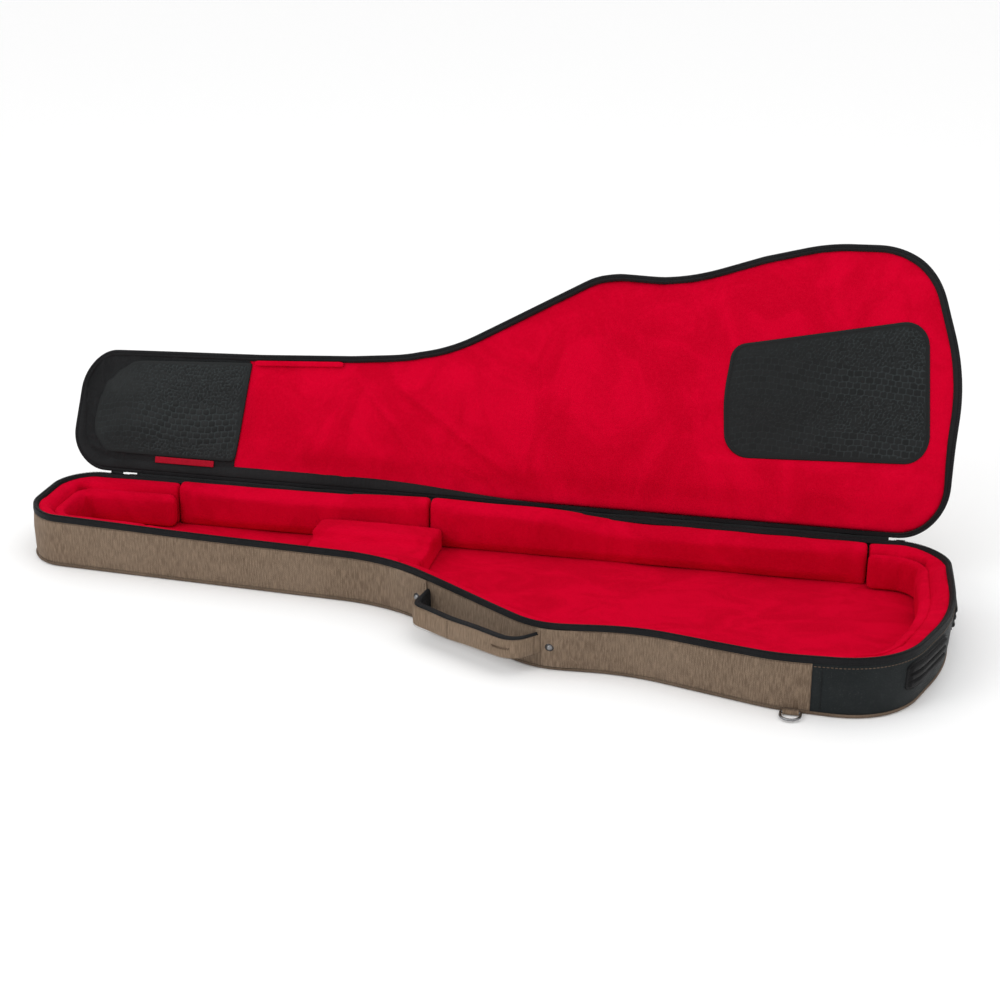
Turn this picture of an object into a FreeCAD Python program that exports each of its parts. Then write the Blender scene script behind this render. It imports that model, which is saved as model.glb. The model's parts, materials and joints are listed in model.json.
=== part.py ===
import FreeCAD, Part
import math
import os
from FreeCAD import Placement, Rotation, Vector

# Padded gig bag for a bass guitar: a tub that lies on its back panel and a lid hinged along one long side.
# The tub and the lid share one outline. It is drawn with +X towards the body end and the hinge side on y = 0,
# so every y below is negative. Tub pieces are then moved by farEdge, and lid pieces, which are drawn as if
# the bag were closed, are turned about the hinge line by openAngle. The frame's origin is the middle of the
# whole open bag's footprint, on the floor.

driving = [
    ("farEdge", 128.4, "hinge side of the tub, from the origin"),
    ("rimHeight", 76.0, "floor to the tub's rim"),
    ("skin", 3.0, "covering fabric on its stiff board"),
    ("backSkin", 4.0, "back panel that the bag lies on"),
    ("lidDepth", 33.0, "lid's rim to its front panel's face"),
    ("openAngle", 110.8, "lid's turn from closed, in degrees"),
    ("hingeOut", 3.0, "hinge line outside the tub's hinge side"),
    ("hingeUp", 0.25, "hinge line above the tub's rim"),
    ("tapeHeight", 8.0, "zip tape's width on a rim"),
    ("tapeProud", 1.0, "zip tape outside the covering fabric"),
    ("coilHeight", 1.8, "zip coil along the edge of a tape"),
    ("coilWidth", 2.6, "zip coil across the rim"),
    ("coilInset", 0.2, "zip coil inside the outline"),
    ("rimGap", 0.3, "clearance of the lid's coil above its rim plane"),
    ("trackStart", -547.0, "head end of the hinge strip"),
    ("trackEnd", 573.0, "body end of the hinge strip"),
    ("sliderRoom", 52.0, "bare rim where a main slider parks and moves"),
    ("wallPad", 24.0, "foam along the walls"),
    ("padTop", 3.0, "wall foam below the rim"),
    ("floorPad", 10.0, "foam on the back panel"),
    ("surroundPad", 21.0, "second foam layer round the headstock"),
    ("surroundEnd", -476.0, "where the headstock surround stops"),
    ("surroundTop", 12.0, "headstock surround below the rim"),
    ("bolsterPad", 15.0, "second foam layer at the body end"),
    ("bolsterStart", 538.0, "where the body end bolster starts"),
    ("bolsterTop", 9.0, "body end bolster below the rim"),
    ("neckSeam", -92.0, "wall foam seam between neck and body"),
    ("padSplit", -130.0, "line between near and far wall foam"),
    ("cradleStart", -254.0, "neck cradle, head side"),
    ("cradleEnd", -68.0, "neck cradle, body side"),
    ("cradleTop", 50.0, "neck cradle's top above the floor"),
    ("cradleGrooveY", -118.0, "middle of the neck groove"),
    ("cradleGroove", 62.0, "width of the neck groove"),
    ("cradleGrooveDepth", 12.0, "depth of the neck groove"),
    ("endPanelStart", 491.0, "where the reinforced end panel starts"),
    ("lidPadInner", 4.0, "lid foam below the lid's rim plane"),
    ("guardSkin", 1.4, "guards sewn on the lid's lining"),
    ("guardInset", 7.0, "head guard inside the outline"),
    ("headGuardEnd", -390.0, "where the head guard stops"),
    ("bandStart", -562.0, "head end of the plain band beside the head guard"),
    ("bandEnd", -382.0, "body end of the plain band"),
    ("bandWidth", 40.0, "plain band's width from the hinge side"),
    ("tagLength", 92.0, "label tag"),
    ("tagHeight", 11.0, "label tag"),
    ("tagStart", -524.0, "label tag's head end"),
    ("tagInset", 27.0, "label tag from the hinge side"),
    ("bumperRise", 7.0, "bumper's ribs outside the wall"),
    ("bumperBase", 3.5, "bumper's plate outside the wall"),
    ("bumperLow", 24.0, "bumper's lower edge"),
    ("bumperTall", 34.0, "bumper's height"),
    ("ribTall", 5.0, "one bumper rib"),
    ("ribPitch", 9.5, "bumper ribs, centre to centre"),
    ("bumperNearStart", -372.0, "near bumper across the body end"),
    ("bumperNearEnd", -262.0, "near bumper across the body end"),
    ("bumperFarStart", -186.0, "far bumper across the body end"),
    ("bumperFarEnd", -96.0, "far bumper across the body end"),
    ("strapLow", 17.0, "carry handle's lower edge"),
    ("strapTall", 37.0, "carry handle's width"),
    ("strapCover", 4.0, "handle cover's thickness"),
    ("strapCore", 8.0, "handle core's thickness"),
    ("strapLining", 4.0, "handle lining's thickness"),
    ("strapGap", 8.0, "handle clear of the wall at its roots, so that it can swing"),
    ("ringWire", 1.75, "D-ring wire radius"),
    ("ringWidth", 25.0, "D-ring between its side bends"),
    ("ringDepth", 20.0, "D-ring across"),
    ("ringHeight", 4.0, "D-ring bar above the floor"),
    ("ringX", 468.0, "D-ring bar's middle"),
    ("ringWallNear", -405.93, "near wall's face beside the D-ring"),
    ("tabReach", 9.0, "D-ring bar outside the wall"),
    ("tabLoop", 3.5, "webbing loop's radius round the bar"),
    ("tabBore", 2.1, "webbing loop's hole"),
    ("tabWidth", 21.0, "webbing tab"),
    ("tabSkin", 2.4, "webbing tab"),
    ("pocketDepth", 14.0, "accessory pocket"),
    ("pocketStart", 94.0, "accessory pocket's head end"),
    ("pocketEnd", 558.0, "accessory pocket's body end"),
    ("pocketInset", 34.0, "accessory pocket inside the outline"),
    ("slimDepth", 9.0, "slim pocket"),
    ("slimStart", -422.0, "slim pocket's head end"),
    ("slimEnd", 38.0, "slim pocket's body end"),
    ("pocketTape", 26.0, "width of a pocket zip's tape"),
    ("pocketTapeSkin", 0.8, "pocket zip tape's thickness"),
    ("pocketZipY", -74.0, "accessory pocket's zip line"),
    ("slimZipY", -62.0, "slim pocket's zip line"),
    ("sliderLength", 12.0, "zip slider"),
    ("sliderWidth", 9.0, "zip slider"),
    ("sliderTall", 4.2, "zip slider"),
    ("pullLength", 26.0, "zip pull"),
    ("pullWidth", 7.0, "zip pull"),
    ("pullSkin", 1.6, "zip pull"),
    ("pullGap", 0.6, "pocket pull clear of its slider"),
    ("headSliderX", -562.0, "parked head slider's head end"),
    ("endSliderX", 576.0, "parked end slider's head end"),
    ("shellIn", 2.7, "main slider inside the outline"),
    ("shellOut", 3.0, "main slider outside the outline"),
    ("shellLow", 7.7, "main slider's lower face below the rim"),
    ("shellTop", 0.4, "main slider's top face below the rim"),
    ("pinRadius", 1.2, "pin on a main slider, which its pull swings on"),
    ("pinGap", 0.3, "pin's clearance in the pull"),
    ("pinLength", 2.2, "pin outside the slider's face"),
    ("pinLow", 4.0, "pin's middle below the rim"),
    ("pullOut", 3.2, "main pull outside the outline"),
    ("pullTop", 1.0, "main pull's top below the rim"),
]

# Corners of the shared outline from the head end's hinge corner: x, y and the radius that rounds it.
outlineCorners = [
    ("headFar", -666.5, 0.0, 60.0),
    ("headNear", -666.5, -180.0, 65.0),
    ("neckNear", -108.0, -212.0, 260.0),
    ("shoulder", 131.0, -357.0, 110.0),
    ("waist", 253.0, -350.0, 300.0),
    ("bout", 448.0, -405.0, 280.0),
    ("endNear", 598.0, -412.0, 110.0),
    ("tail", 664.0, -235.0, 300.0),
    ("endFar", 648.0, 0.0, 80.0),
]

# Corners of the bridge guard on the lid's lining.
guardCorners = [
    ("guardLow", 360.0, -96.0, 22.0),
    ("guardLeft", 316.0, -160.0, 46.0),
    ("guardTopLeft", 332.0, -268.0, 30.0),
    ("guardTopRight", 588.0, -318.0, 34.0),
    ("guardRight", 618.0, -150.0, 50.0),
    ("guardEnd", 590.0, -112.0, 24.0),
]

# The carry handle's path in plan, along its middle layer, from its neck root to its waist root.
handlePath = [
    ("rootNeck", -37.0, -255.0, 0.0),
    ("bendNeck", -45.0, -306.0, 17.0),
    ("bendWaist", 106.0, -392.0, 32.0),
    ("rootWaist", 137.0, -356.0, 0.0),
]

doc = FreeCAD.newDocument("gigBag")
sheet = doc.addObject("Spreadsheet::Sheet", "dims")
rowNumber = 0


def addCell(alias, value, note):
    global rowNumber
    rowNumber += 1
    sheet.set(f"A{rowNumber}", alias)
    sheet.set(f"B{rowNumber}", str(value))
    sheet.setAlias(f"B{rowNumber}", alias)
    sheet.set(f"C{rowNumber}", note)


for alias, value, note in driving:
    addCell(alias, value, note)
for corners in (outlineCorners, guardCorners, handlePath):
    for corner, x, y, radius in corners:
        addCell(corner + "X", x, "corner, x")
        addCell(corner + "Y", y, "corner, y")
        addCell(corner + "Round", radius, "corner's radius")
doc.recompute()


def size(alias):
    return float(sheet.get(alias))


def bind(thing, **expressions):
    for prop, expression in expressions.items():
        thing.setExpression(prop.replace("_", "."), expression)


# ---- sketches ----

def cornerPoints(corners):
    return [(Vector(size(c + "X"), size(c + "Y"), 0), size(c + "Round")) for c, x, y, radius in corners]


def roundedSketch(name, corners, closed=True):
    """Straight runs joined by tangent arcs, one arc at each corner that has a radius."""
    points = cornerPoints(corners)
    count = len(points)
    starts, ends, arcs = {}, {}, {}
    for i, (corner, radius) in enumerate(points):
        starts[i] = ends[i] = corner
        if radius == 0:
            continue
        back = (points[i - 1][0] - corner).normalize()
        ahead = (points[(i + 1) % count][0] - corner).normalize()
        half = math.acos(back.dot(ahead)) / 2
        reach = radius / math.tan(half)
        bisector = (back + ahead).normalize()
        middle = corner + bisector * (radius / math.sin(half) - radius)
        ends[i] = corner + back * reach
        starts[i] = corner + ahead * reach
        arcs[i] = Part.Arc(ends[i], middle, starts[i])
    sketch = doc.addObject("Sketcher::SketchObject", name)
    for i in range(count if closed else count - 1):
        sketch.addGeometry(Part.LineSegment(starts[i], ends[(i + 1) % count]))
    for arc in arcs.values():
        sketch.addGeometry(arc)
    return sketch


def profileSketch(name, points, placement):
    sketch = doc.addObject("Sketcher::SketchObject", name)
    for a, b in zip(points, points[1:] + points[:1]):
        sketch.addGeometry(Part.LineSegment(Vector(*a, 0), Vector(*b, 0)))
    sketch.Placement = placement
    return sketch


# ---- building blocks bound to the sheet ----

offsets = {}


def outlineAt(distance):
    """The shared outline moved inwards by an expression's value."""
    if distance == "0":
        return outline
    if distance not in offsets:
        offset = doc.addObject("Part::Offset2D", "outlineOffset")
        offset.Source = outline
        bind(offset, Value=f"-({distance})")
        offsets[distance] = offset
    return offsets[distance]


def prism(base, low, high, name="prism"):
    solid = doc.addObject("Part::Extrusion", name)
    solid.Base = base
    solid.DirMode = "Custom"
    solid.Dir = Vector(0, 0, 1)
    solid.Solid = True
    bind(solid, LengthFwd=f"({high}) - ({low})", Placement_Base_z=low)
    return solid


def box(x0, x1, y0, y1, z0, z1, name="block"):
    solid = doc.addObject("Part::Box", name)
    bind(solid, Length=f"({x1}) - ({x0})", Width=f"({y1}) - ({y0})", Height=f"({z1}) - ({z0})")
    bind(solid, Placement_Base_x=x0, Placement_Base_y=y0, Placement_Base_z=z0)
    return solid


def slab(x0, x1, y0="-600", y1="100"):
    """A stretch of the bag's length, wider and taller than either half unless y0 and y1 narrow it."""
    return box(x0, x1, y0, y1, "-100", "200", "stretch")


def cylinder(radius, length, x, y, z, axis, name="round"):
    solid = doc.addObject("Part::Cylinder", name)
    solid.Placement = Placement(Vector(0, 0, 0), Rotation(Vector(0, 0, 1), axis))
    bind(solid, Radius=radius, Height=length)
    bind(solid, Placement_Base_x=x, Placement_Base_y=y, Placement_Base_z=z)
    return solid


def cut(base, tool, name="cut"):
    solid = doc.addObject("Part::Cut", name)
    solid.Base, solid.Tool = base, tool
    return solid


def common(base, tool, name="common"):
    solid = doc.addObject("Part::Common", name)
    solid.Base, solid.Tool = base, tool
    return solid


def fuse(*shapes, name="fuse"):
    solid = doc.addObject("Part::MultiFuse", name)
    solid.Shapes = list(shapes)
    return solid


def ring(outer, inner, low, high):
    return cut(prism(outlineAt(outer), low, high), prism(outlineAt(inner), low, high), "ring")


subParts = []


def finished(solid, label):
    solid.Label = label
    subParts.append(solid)


def tubPiece(solid, label):
    moved = doc.addObject("Part::Compound", "moved")
    moved.Links = [solid]
    bind(moved, Placement_Base_y="dims.farEdge")
    finished(moved, label)


def lidPiece(solid, label):
    """Drawn closed, with z from the lid's rim plane, then turned open about the hinge line."""
    hinge = Vector(0, size("farEdge") + size("hingeOut"), size("rimHeight") + size("hingeUp"))
    shifted = doc.addObject("Part::Compound", "closed")
    shifted.Links = [solid]
    bind(shifted, Placement_Base_y="-dims.hingeOut")
    opened = doc.addObject("Part::Compound", "opened")
    opened.Links = [shifted]
    opened.Placement = Placement(hinge, Rotation(Vector(1, 0, 0), -size("openAngle")))
    bind(opened, Placement_Base_y="dims.farEdge + dims.hingeOut",
         Placement_Base_z="dims.rimHeight + dims.hingeUp", Placement_Rotation_Angle="-dims.openAngle")
    finished(opened, label)


outline = roundedSketch("outline", outlineCorners)
inside = "dims.skin"
padInner = "dims.skin + dims.wallPad"
tapeLow = "dims.rimHeight - dims.tapeHeight"
coilLow = "dims.rimHeight - dims.coilHeight"
floorTop = "dims.backSkin + dims.floorPad"
headEdge, bodyEdge = "-700", "700"
strip = slab("dims.trackStart", "dims.trackEnd", "-20", "20")
bare = slab("dims.trackStart - dims.sliderRoom", "dims.trackEnd + dims.sliderRoom", "-20", "20")

# ---- tub: covering ----

tubPiece(prism(outline, "0", "dims.backSkin"), "back_panel")
wall = ring("0", inside, "dims.backSkin", tapeLow)
tubPiece(common(wall, slab(headEdge, "dims.endPanelStart")), "side_wall")
tubPiece(common(wall, slab("dims.endPanelStart", bodyEdge)), "end_panel")
tape = ring("-dims.tapeProud", inside, tapeLow, coilLow)
tubPiece(cut(tape, bare), "tub_zip_tape")
coil = ring("dims.coilInset", "dims.coilInset + dims.coilWidth", coilLow, "dims.rimHeight")
tubPiece(cut(coil, bare), "tub_zip_coil")
tubPiece(common(ring("0", inside, tapeLow, coilLow), strip), "hinge_strip")

# ---- tub: foam and lining ----

tubPiece(prism(outlineAt(inside), "dims.backSkin", floorTop), "floor_pad")
foamTop = "dims.rimHeight - dims.padTop"
foam = ring(inside, padInner, floorTop, foamTop)
split = "dims.padSplit"
tubPiece(common(foam, slab(headEdge, "dims.surroundEnd")), "head_wall_pad")
tubPiece(common(foam, slab("dims.surroundEnd", "dims.neckSeam", y1=split)), "neck_wall_pad_near")
tubPiece(common(foam, slab("dims.surroundEnd", "dims.neckSeam", y0=split)), "neck_wall_pad_far")
tubPiece(common(foam, slab("dims.neckSeam", "dims.bolsterStart", y1=split)), "body_wall_pad_near")
tubPiece(common(foam, slab("dims.neckSeam", "dims.bolsterStart", y0=split)), "body_wall_pad_far")
tubPiece(common(foam, slab("dims.bolsterStart", bodyEdge)), "end_wall_pad")
surround = ring(padInner, f"{padInner} + dims.surroundPad", floorTop, "dims.rimHeight - dims.surroundTop")
tubPiece(common(surround, slab(headEdge, "dims.surroundEnd")), "headstock_surround")
bolster = ring(padInner, f"{padInner} + dims.bolsterPad", floorTop, "dims.rimHeight - dims.bolsterTop")
tubPiece(common(bolster, slab("dims.bolsterStart", bodyEdge)), "end_bolster")
cradleBlock = prism(outlineAt(padInner), floorTop, "dims.cradleTop")
cradle = common(cradleBlock, slab("dims.cradleStart", "dims.cradleEnd"))
grooveNear = "dims.cradleGrooveY - dims.cradleGroove / 2"
grooveFar = "dims.cradleGrooveY + dims.cradleGroove / 2"
grooveLow = "dims.cradleTop - dims.cradleGrooveDepth"
groove = box("dims.cradleStart - 5", "dims.cradleEnd + 5", grooveNear, grooveFar,
             grooveLow, "dims.cradleTop + 5")
tubPiece(cut(cradle, groove), "neck_cradle")

# ---- tub: bumpers on the body end ----

bumperHigh = "dims.bumperLow + dims.bumperTall"
ribMiddle = "dims.bumperLow + dims.bumperTall / 2"
plate = ring("-dims.bumperBase", "0", "dims.bumperLow", bumperHigh)
ribs = [
    ring("-dims.bumperRise", "0", f"{ribMiddle} + {step} * dims.ribPitch - dims.ribTall / 2",
         f"{ribMiddle} + {step} * dims.ribPitch + dims.ribTall / 2")
    for step in (-1, 0, 1)
]
bumper = fuse(plate, *ribs)
for side in ("Near", "Far"):
    span = slab("dims.endPanelStart", bodyEdge, f"dims.bumper{side}Start", f"dims.bumper{side}End")
    tubPiece(common(bumper, span), f"bumper_{side.lower()}")

# ---- carry handle: cover, core and lining layers along one path, and its rivets ----

path = roundedSketch("handleLine", handlePath, closed=False)
(root, _), (bend, _) = cornerPoints(handlePath)[:2]
along = (bend - root).normalize()
across = Vector(0, 0, 1).cross(along)
halfCore = size("strapCore") / 2
layers = {
    "handle_core": (-halfCore, halfCore),
    "handle_cover": (-halfCore - size("strapCover"), -halfCore),
    "handle_lining": (halfCore, halfCore + size("strapLining")),
}
wallBlock = prism(outlineAt("-dims.strapGap"), "0", "100")
for label, (side0, side1) in layers.items():
    low, high = size("strapLow"), size("strapLow") + size("strapTall")
    square = [(side0, low), (side1, low), (side1, high), (side0, high)]
    standing = Placement(root, Rotation(across, Vector(0, 0, 1), along))
    profile = profileSketch(label + "Profile", square, standing)
    layer = doc.addObject("Part::Sweep", "layer")
    layer.Sections = [profile]
    layer.Spine = (path, [])
    layer.Solid = True
    layer.Frenet = True
    tubPiece(cut(layer, wallBlock), label)

# Each rivet is a washer with a low dome, turned about its own axis and pushed square into the wall.
stem = [(0, -2.5), (2, -2.5), (2, 0)]
washer = [(6, 0), (6, 1), (4.4, 1.4)]
dome = [(3.2, 3), (1.4, 3.8), (0, 3.9)]
rivetProfile = profileSketch("rivetProfile", stem + washer + dome, Placement())
rivetSpots = [(-52.0, -246.3, 36.0, 238.8), (151.0, -356.3, 38.0, 271.5)]  # x, y, z, heading of the wall
rivets = []
for x, y, z, heading in rivetSpots:
    turned = doc.addObject("Part::Revolution", "rivet")
    turned.Source = rivetProfile
    turned.Axis = Vector(0, 1, 0)
    turned.Base = Vector(0, 0, 0)
    turned.Angle = 360
    turned.Solid = True
    outwards = Vector(math.cos(math.radians(heading)), math.sin(math.radians(heading)), 0)
    turned.Placement = Placement(Vector(x, y, z), Rotation(Vector(0, 1, 0), outwards))
    rivets.append(turned)
domes = doc.addObject("Part::Compound", "rivetPair")
domes.Links = rivets
tubPiece(cut(domes, prism(outline, "0", "100")), "handle_rivets")

# ---- D-rings in webbing tabs at the lower edge, one on each side ----


def ringTab(side, wallY, label):
    """Webbing from the wall's foot, folded into a loop round the D-ring's bar."""
    barY = f"{wallY} + {side} * dims.tabReach"
    x0, x1 = "dims.ringX - dims.tabWidth / 2", "dims.ringX + dims.tabWidth / 2"
    near, far = sorted([size("tabReach") * side, -20 * side])  # runs on into the wall, which trims it
    flat = box(x0, x1, f"{wallY} + {near}", f"{wallY} + {far}",
               "dims.ringHeight - dims.tabSkin / 2", "dims.ringHeight + dims.tabSkin / 2")
    loop = cylinder("dims.tabLoop", "dims.tabWidth", x0, barY, "dims.ringHeight", Vector(1, 0, 0))
    bore = cylinder("dims.tabBore", "dims.tabWidth + 10", f"{x0} - 5", barY, "dims.ringHeight",
                    Vector(1, 0, 0))
    tubPiece(cut(cut(fuse(flat, loop), bore), prism(outline, "0", "dims.rimHeight")), label)


def dRing(side, wallY, label):
    """A bar and a half-round bow of the same wire, drawn lying flat with the bar's middle at the origin."""
    half, depth = size("ringWidth") / 2, size("ringDepth")
    shoulder = -depth * 0.35
    left, right = Vector(-half, 0, 0), Vector(half, 0, 0)
    leftTurn, rightTurn = Vector(-half, shoulder, 0), Vector(half, shoulder, 0)
    bow = Part.Arc(rightTurn, Vector(0, -depth, 0), leftTurn).toShape()
    run = Part.Wire([Part.makeLine(Vector(0, 0, 0), right), Part.makeLine(right, rightTurn), bow,
                     Part.makeLine(leftTurn, left), Part.makeLine(left, Vector(0, 0, 0))])
    section = Part.Wire(Part.makeCircle(size("ringWire"), Vector(0, 0, 0), Vector(1, 0, 0)))
    piece = doc.addObject("Part::Feature", label)
    piece.Shape = run.makePipeShell([section], True, False, 2)
    turn = 0 if side < 0 else 180
    piece.Placement = Placement(Vector(0, 0, 0), Rotation(Vector(0, 0, 1), turn))
    bind(piece, Placement_Base_x="dims.ringX", Placement_Base_z="dims.ringHeight",
         Placement_Base_y=f"dims.farEdge + {wallY} + {side} * dims.tabReach")
    finished(piece, label)


ringTab(-1, "dims.ringWallNear", "ring_tab_near")
ringTab(1, "0", "ring_tab_far")
dRing(-1, "dims.ringWallNear", "d_ring_near")
dRing(1, "0", "d_ring_far")

# ---- main zip sliders, parked at the two ends of the track, with pulls that hang outside ----

rim = "dims.rimHeight"
for end in ("head", "end"):
    x0 = f"dims.{end}SliderX"
    x1 = f"{x0} + dims.sliderLength"
    middle = f"{x0} + dims.sliderLength / 2"
    shell = box(x0, x1, "-dims.shellIn", "dims.shellOut", f"{rim} - dims.shellLow", f"{rim} - dims.shellTop")
    pinZ, outwards = f"{rim} - dims.pinLow", Vector(0, 1, 0)
    pin = cylinder("dims.pinRadius", "dims.pinLength", middle, "dims.shellOut", pinZ, outwards)
    tubPiece(fuse(shell, pin), f"main_slider_{end}")
    pullTop = f"{rim} - dims.pullTop"
    plate = box(f"{middle} - dims.pullWidth / 2", f"{middle} + dims.pullWidth / 2", "dims.pullOut",
                "dims.pullOut + dims.pullSkin", f"{pullTop} - dims.pullLength", pullTop)
    hole = cylinder("dims.pinRadius + dims.pinGap", "dims.pullSkin + 2", middle, "dims.pullOut - 1",
                    pinZ, outwards)
    tubPiece(cut(plate, hole), f"main_pull_{end}")

# ---- lid: covering, drawn closed with z from its rim plane ----

lidTapeTop = "dims.tapeHeight + 1"
panelLow = "dims.lidDepth - dims.skin"
lidTape = ring("-dims.tapeProud", inside, "dims.rimGap + dims.coilHeight", lidTapeTop)
lidPiece(cut(lidTape, bare), "lid_zip_tape")
lidCoil = ring("dims.coilInset", "dims.coilInset + dims.coilWidth",
               "dims.rimGap", "dims.rimGap + dims.coilHeight")
lidPiece(cut(lidCoil, bare), "lid_zip_coil")
lidPiece(common(ring("0", inside, "dims.rimGap + dims.coilHeight", lidTapeTop), strip), "lid_hinge_edge")
lidPiece(ring("0", inside, lidTapeTop, panelLow), "lid_gusset")
lidPiece(prism(outline, panelLow, "dims.lidDepth"), "lid_front_panel")
lidPiece(prism(outlineAt(inside), "dims.lidPadInner", panelLow), "lid_pad")
guardLow = "dims.lidPadInner - dims.guardSkin"
headGuard = prism(outlineAt("dims.guardInset"), guardLow, "dims.lidPadInner")
plainBand = slab("dims.bandStart", "dims.bandEnd", "-dims.bandWidth", "0")
lidPiece(cut(common(headGuard, slab(headEdge, "dims.headGuardEnd")), plainBand), "head_guard")
bridgeGuardLine = roundedSketch("bridgeGuardLine", guardCorners)
lidPiece(prism(bridgeGuardLine, guardLow, "dims.lidPadInner"), "bridge_guard")
tagLow = "-dims.tagInset - dims.tagHeight"
tag = box("dims.tagStart", "dims.tagStart + dims.tagLength", tagLow, "-dims.tagInset",
          guardLow, "dims.lidPadInner")
lidPiece(tag, "label_tag")

# ---- lid: pockets on the outside, each with a zip tape, slider and pull ----

pockets = [
    ("accessory", "dims.pocketStart", "dims.pocketEnd", "dims.pocketDepth", "dims.pocketZipY"),
    ("slim", "dims.slimStart", "dims.slimEnd", "dims.slimDepth", "dims.slimZipY"),
]
for name, x0, x1, depth, zipY in pockets:
    face = f"dims.lidDepth + {depth}"
    shell = common(prism(outlineAt("dims.pocketInset"), "dims.lidDepth", face), slab(x0, x1))
    lidPiece(shell, f"{name}_pocket")
    tapeTop = f"{face} + dims.pocketTapeSkin"
    tapeBox = box(f"{x0} + 14", f"{x1} - 14", f"{zipY} - dims.pocketTape / 2",
                  f"{zipY} + dims.pocketTape / 2", face, tapeTop)
    lidPiece(tapeBox, f"{name}_zip_tape")
    sliderX = f"{x0} + 26"
    sliderLow = f"{tapeTop} + 0.3"
    body = box(sliderX, f"{sliderX} + dims.sliderLength", f"{zipY} - dims.sliderWidth / 2",
               f"{zipY} + dims.sliderWidth / 2", sliderLow, f"{sliderLow} + dims.sliderTall")
    lidPiece(body, f"{name}_slider")
    pullLow = f"{sliderLow} + dims.sliderTall + dims.pullGap"
    pull = box(f"{sliderX} + 3", f"{sliderX} + 3 + dims.pullLength", f"{zipY} - dims.pullWidth / 2",
               f"{zipY} + dims.pullWidth / 2", pullLow, f"{pullLow} + dims.pullSkin")
    lidPiece(pull, f"{name}_pull")

doc.recompute()

for thing in doc.Objects:
    if "Invalid" in thing.State or "Error" in thing.State:
        raise RuntimeError(f"{thing.Label} did not recompute: {thing.State}")
for piece in subParts:
    if piece.Shape.isNull() or not piece.Shape.isValid() or piece.Shape.Volume <= 0:
        raise RuntimeError(f"{piece.Label} has no valid solid")

os.makedirs("parts", exist_ok=True)
whole = FreeCAD.BoundBox()
for piece in subParts:
    whole.add(piece.Shape.BoundBox)
    piece.Shape.exportStep(f"parts/{piece.Label}.step")
    print(f"{piece.Label:22s} {len(piece.Shape.Solids)} solid(s) {piece.Shape.Volume / 1000:9.1f} cm3")
print(f"{len(subParts)} sub-parts, x {whole.XMin:.1f} to {whole.XMax:.1f},"
      f" y {whole.YMin:.1f} to {whole.YMax:.1f}, z {whole.ZMin:.2f} to {whole.ZMax:.1f}")
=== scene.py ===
import json
import math

import bpy
import numpy as np
from mathutils import Matrix, Vector


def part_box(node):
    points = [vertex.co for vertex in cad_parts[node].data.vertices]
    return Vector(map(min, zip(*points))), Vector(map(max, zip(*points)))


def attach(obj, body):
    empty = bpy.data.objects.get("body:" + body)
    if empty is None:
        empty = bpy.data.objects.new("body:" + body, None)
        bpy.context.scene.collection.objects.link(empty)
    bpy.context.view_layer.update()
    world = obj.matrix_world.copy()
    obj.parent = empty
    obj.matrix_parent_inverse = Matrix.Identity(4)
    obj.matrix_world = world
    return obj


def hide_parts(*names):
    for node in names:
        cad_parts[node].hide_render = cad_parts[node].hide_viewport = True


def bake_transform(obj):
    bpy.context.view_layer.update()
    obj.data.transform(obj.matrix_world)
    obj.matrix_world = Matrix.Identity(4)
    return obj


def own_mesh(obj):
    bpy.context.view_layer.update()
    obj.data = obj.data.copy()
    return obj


# A padded gig bag for a bass guitar, lying open: a tub with foam walls and a lid on a cloth hinge.
# Lengths are in millimetres until a mesh is made. The tub is drawn with y = 0 on its hinge side, and the lid as
# if the bag were closed, with z counted outwards from its rim.

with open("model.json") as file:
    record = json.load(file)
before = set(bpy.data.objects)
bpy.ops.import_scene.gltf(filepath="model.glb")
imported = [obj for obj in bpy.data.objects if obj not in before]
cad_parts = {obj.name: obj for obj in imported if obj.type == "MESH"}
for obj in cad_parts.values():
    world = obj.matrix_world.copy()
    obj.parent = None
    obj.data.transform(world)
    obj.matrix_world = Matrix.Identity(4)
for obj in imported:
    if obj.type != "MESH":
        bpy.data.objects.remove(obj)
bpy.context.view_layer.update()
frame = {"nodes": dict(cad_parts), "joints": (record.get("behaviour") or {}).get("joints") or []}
nodes = frame["nodes"]
joints = {joint["name"]: joint for joint in frame["joints"]}
mm = 0.001
pi = math.pi

hinge = np.array(joints["lid_hinge"]["pos_m"]) / mm
openAngle = math.radians(-joints["lid_hinge"]["range_deg"][0])
bag = dict(hingeOut=3.0, rim=76.0, lidDeep=33.0)
farEdge = hinge[1] - bag["hingeOut"]


# lines and small sums
def rise(x, start, end):  # 0 up to start, 1 from end on, an even S between
    t = np.clip((np.asarray(x, float) - start) / (end - start), 0, 1)
    return t * t * (3 - 2 * t)


def hump(x, middle, width):  # a bell, 1 high at its middle
    return np.exp(-((np.asarray(x, float) - middle) / width) ** 2)


# plane waves of about one length in seeded directions, summed, about -1 to 1
def ripple(points, wave, seed, count=9):
    r = np.random.default_rng(seed)
    heading = r.normal(size=(count, 3))
    heading /= np.linalg.norm(heading, axis=1, keepdims=True)
    heading *= (2 * pi / wave * r.uniform(0.7, 1.4, count))[:, None]
    start = r.uniform(0, 2 * pi, count)
    return np.sin(points @ heading.T + start).sum(-1) / count ** 0.5


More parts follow.
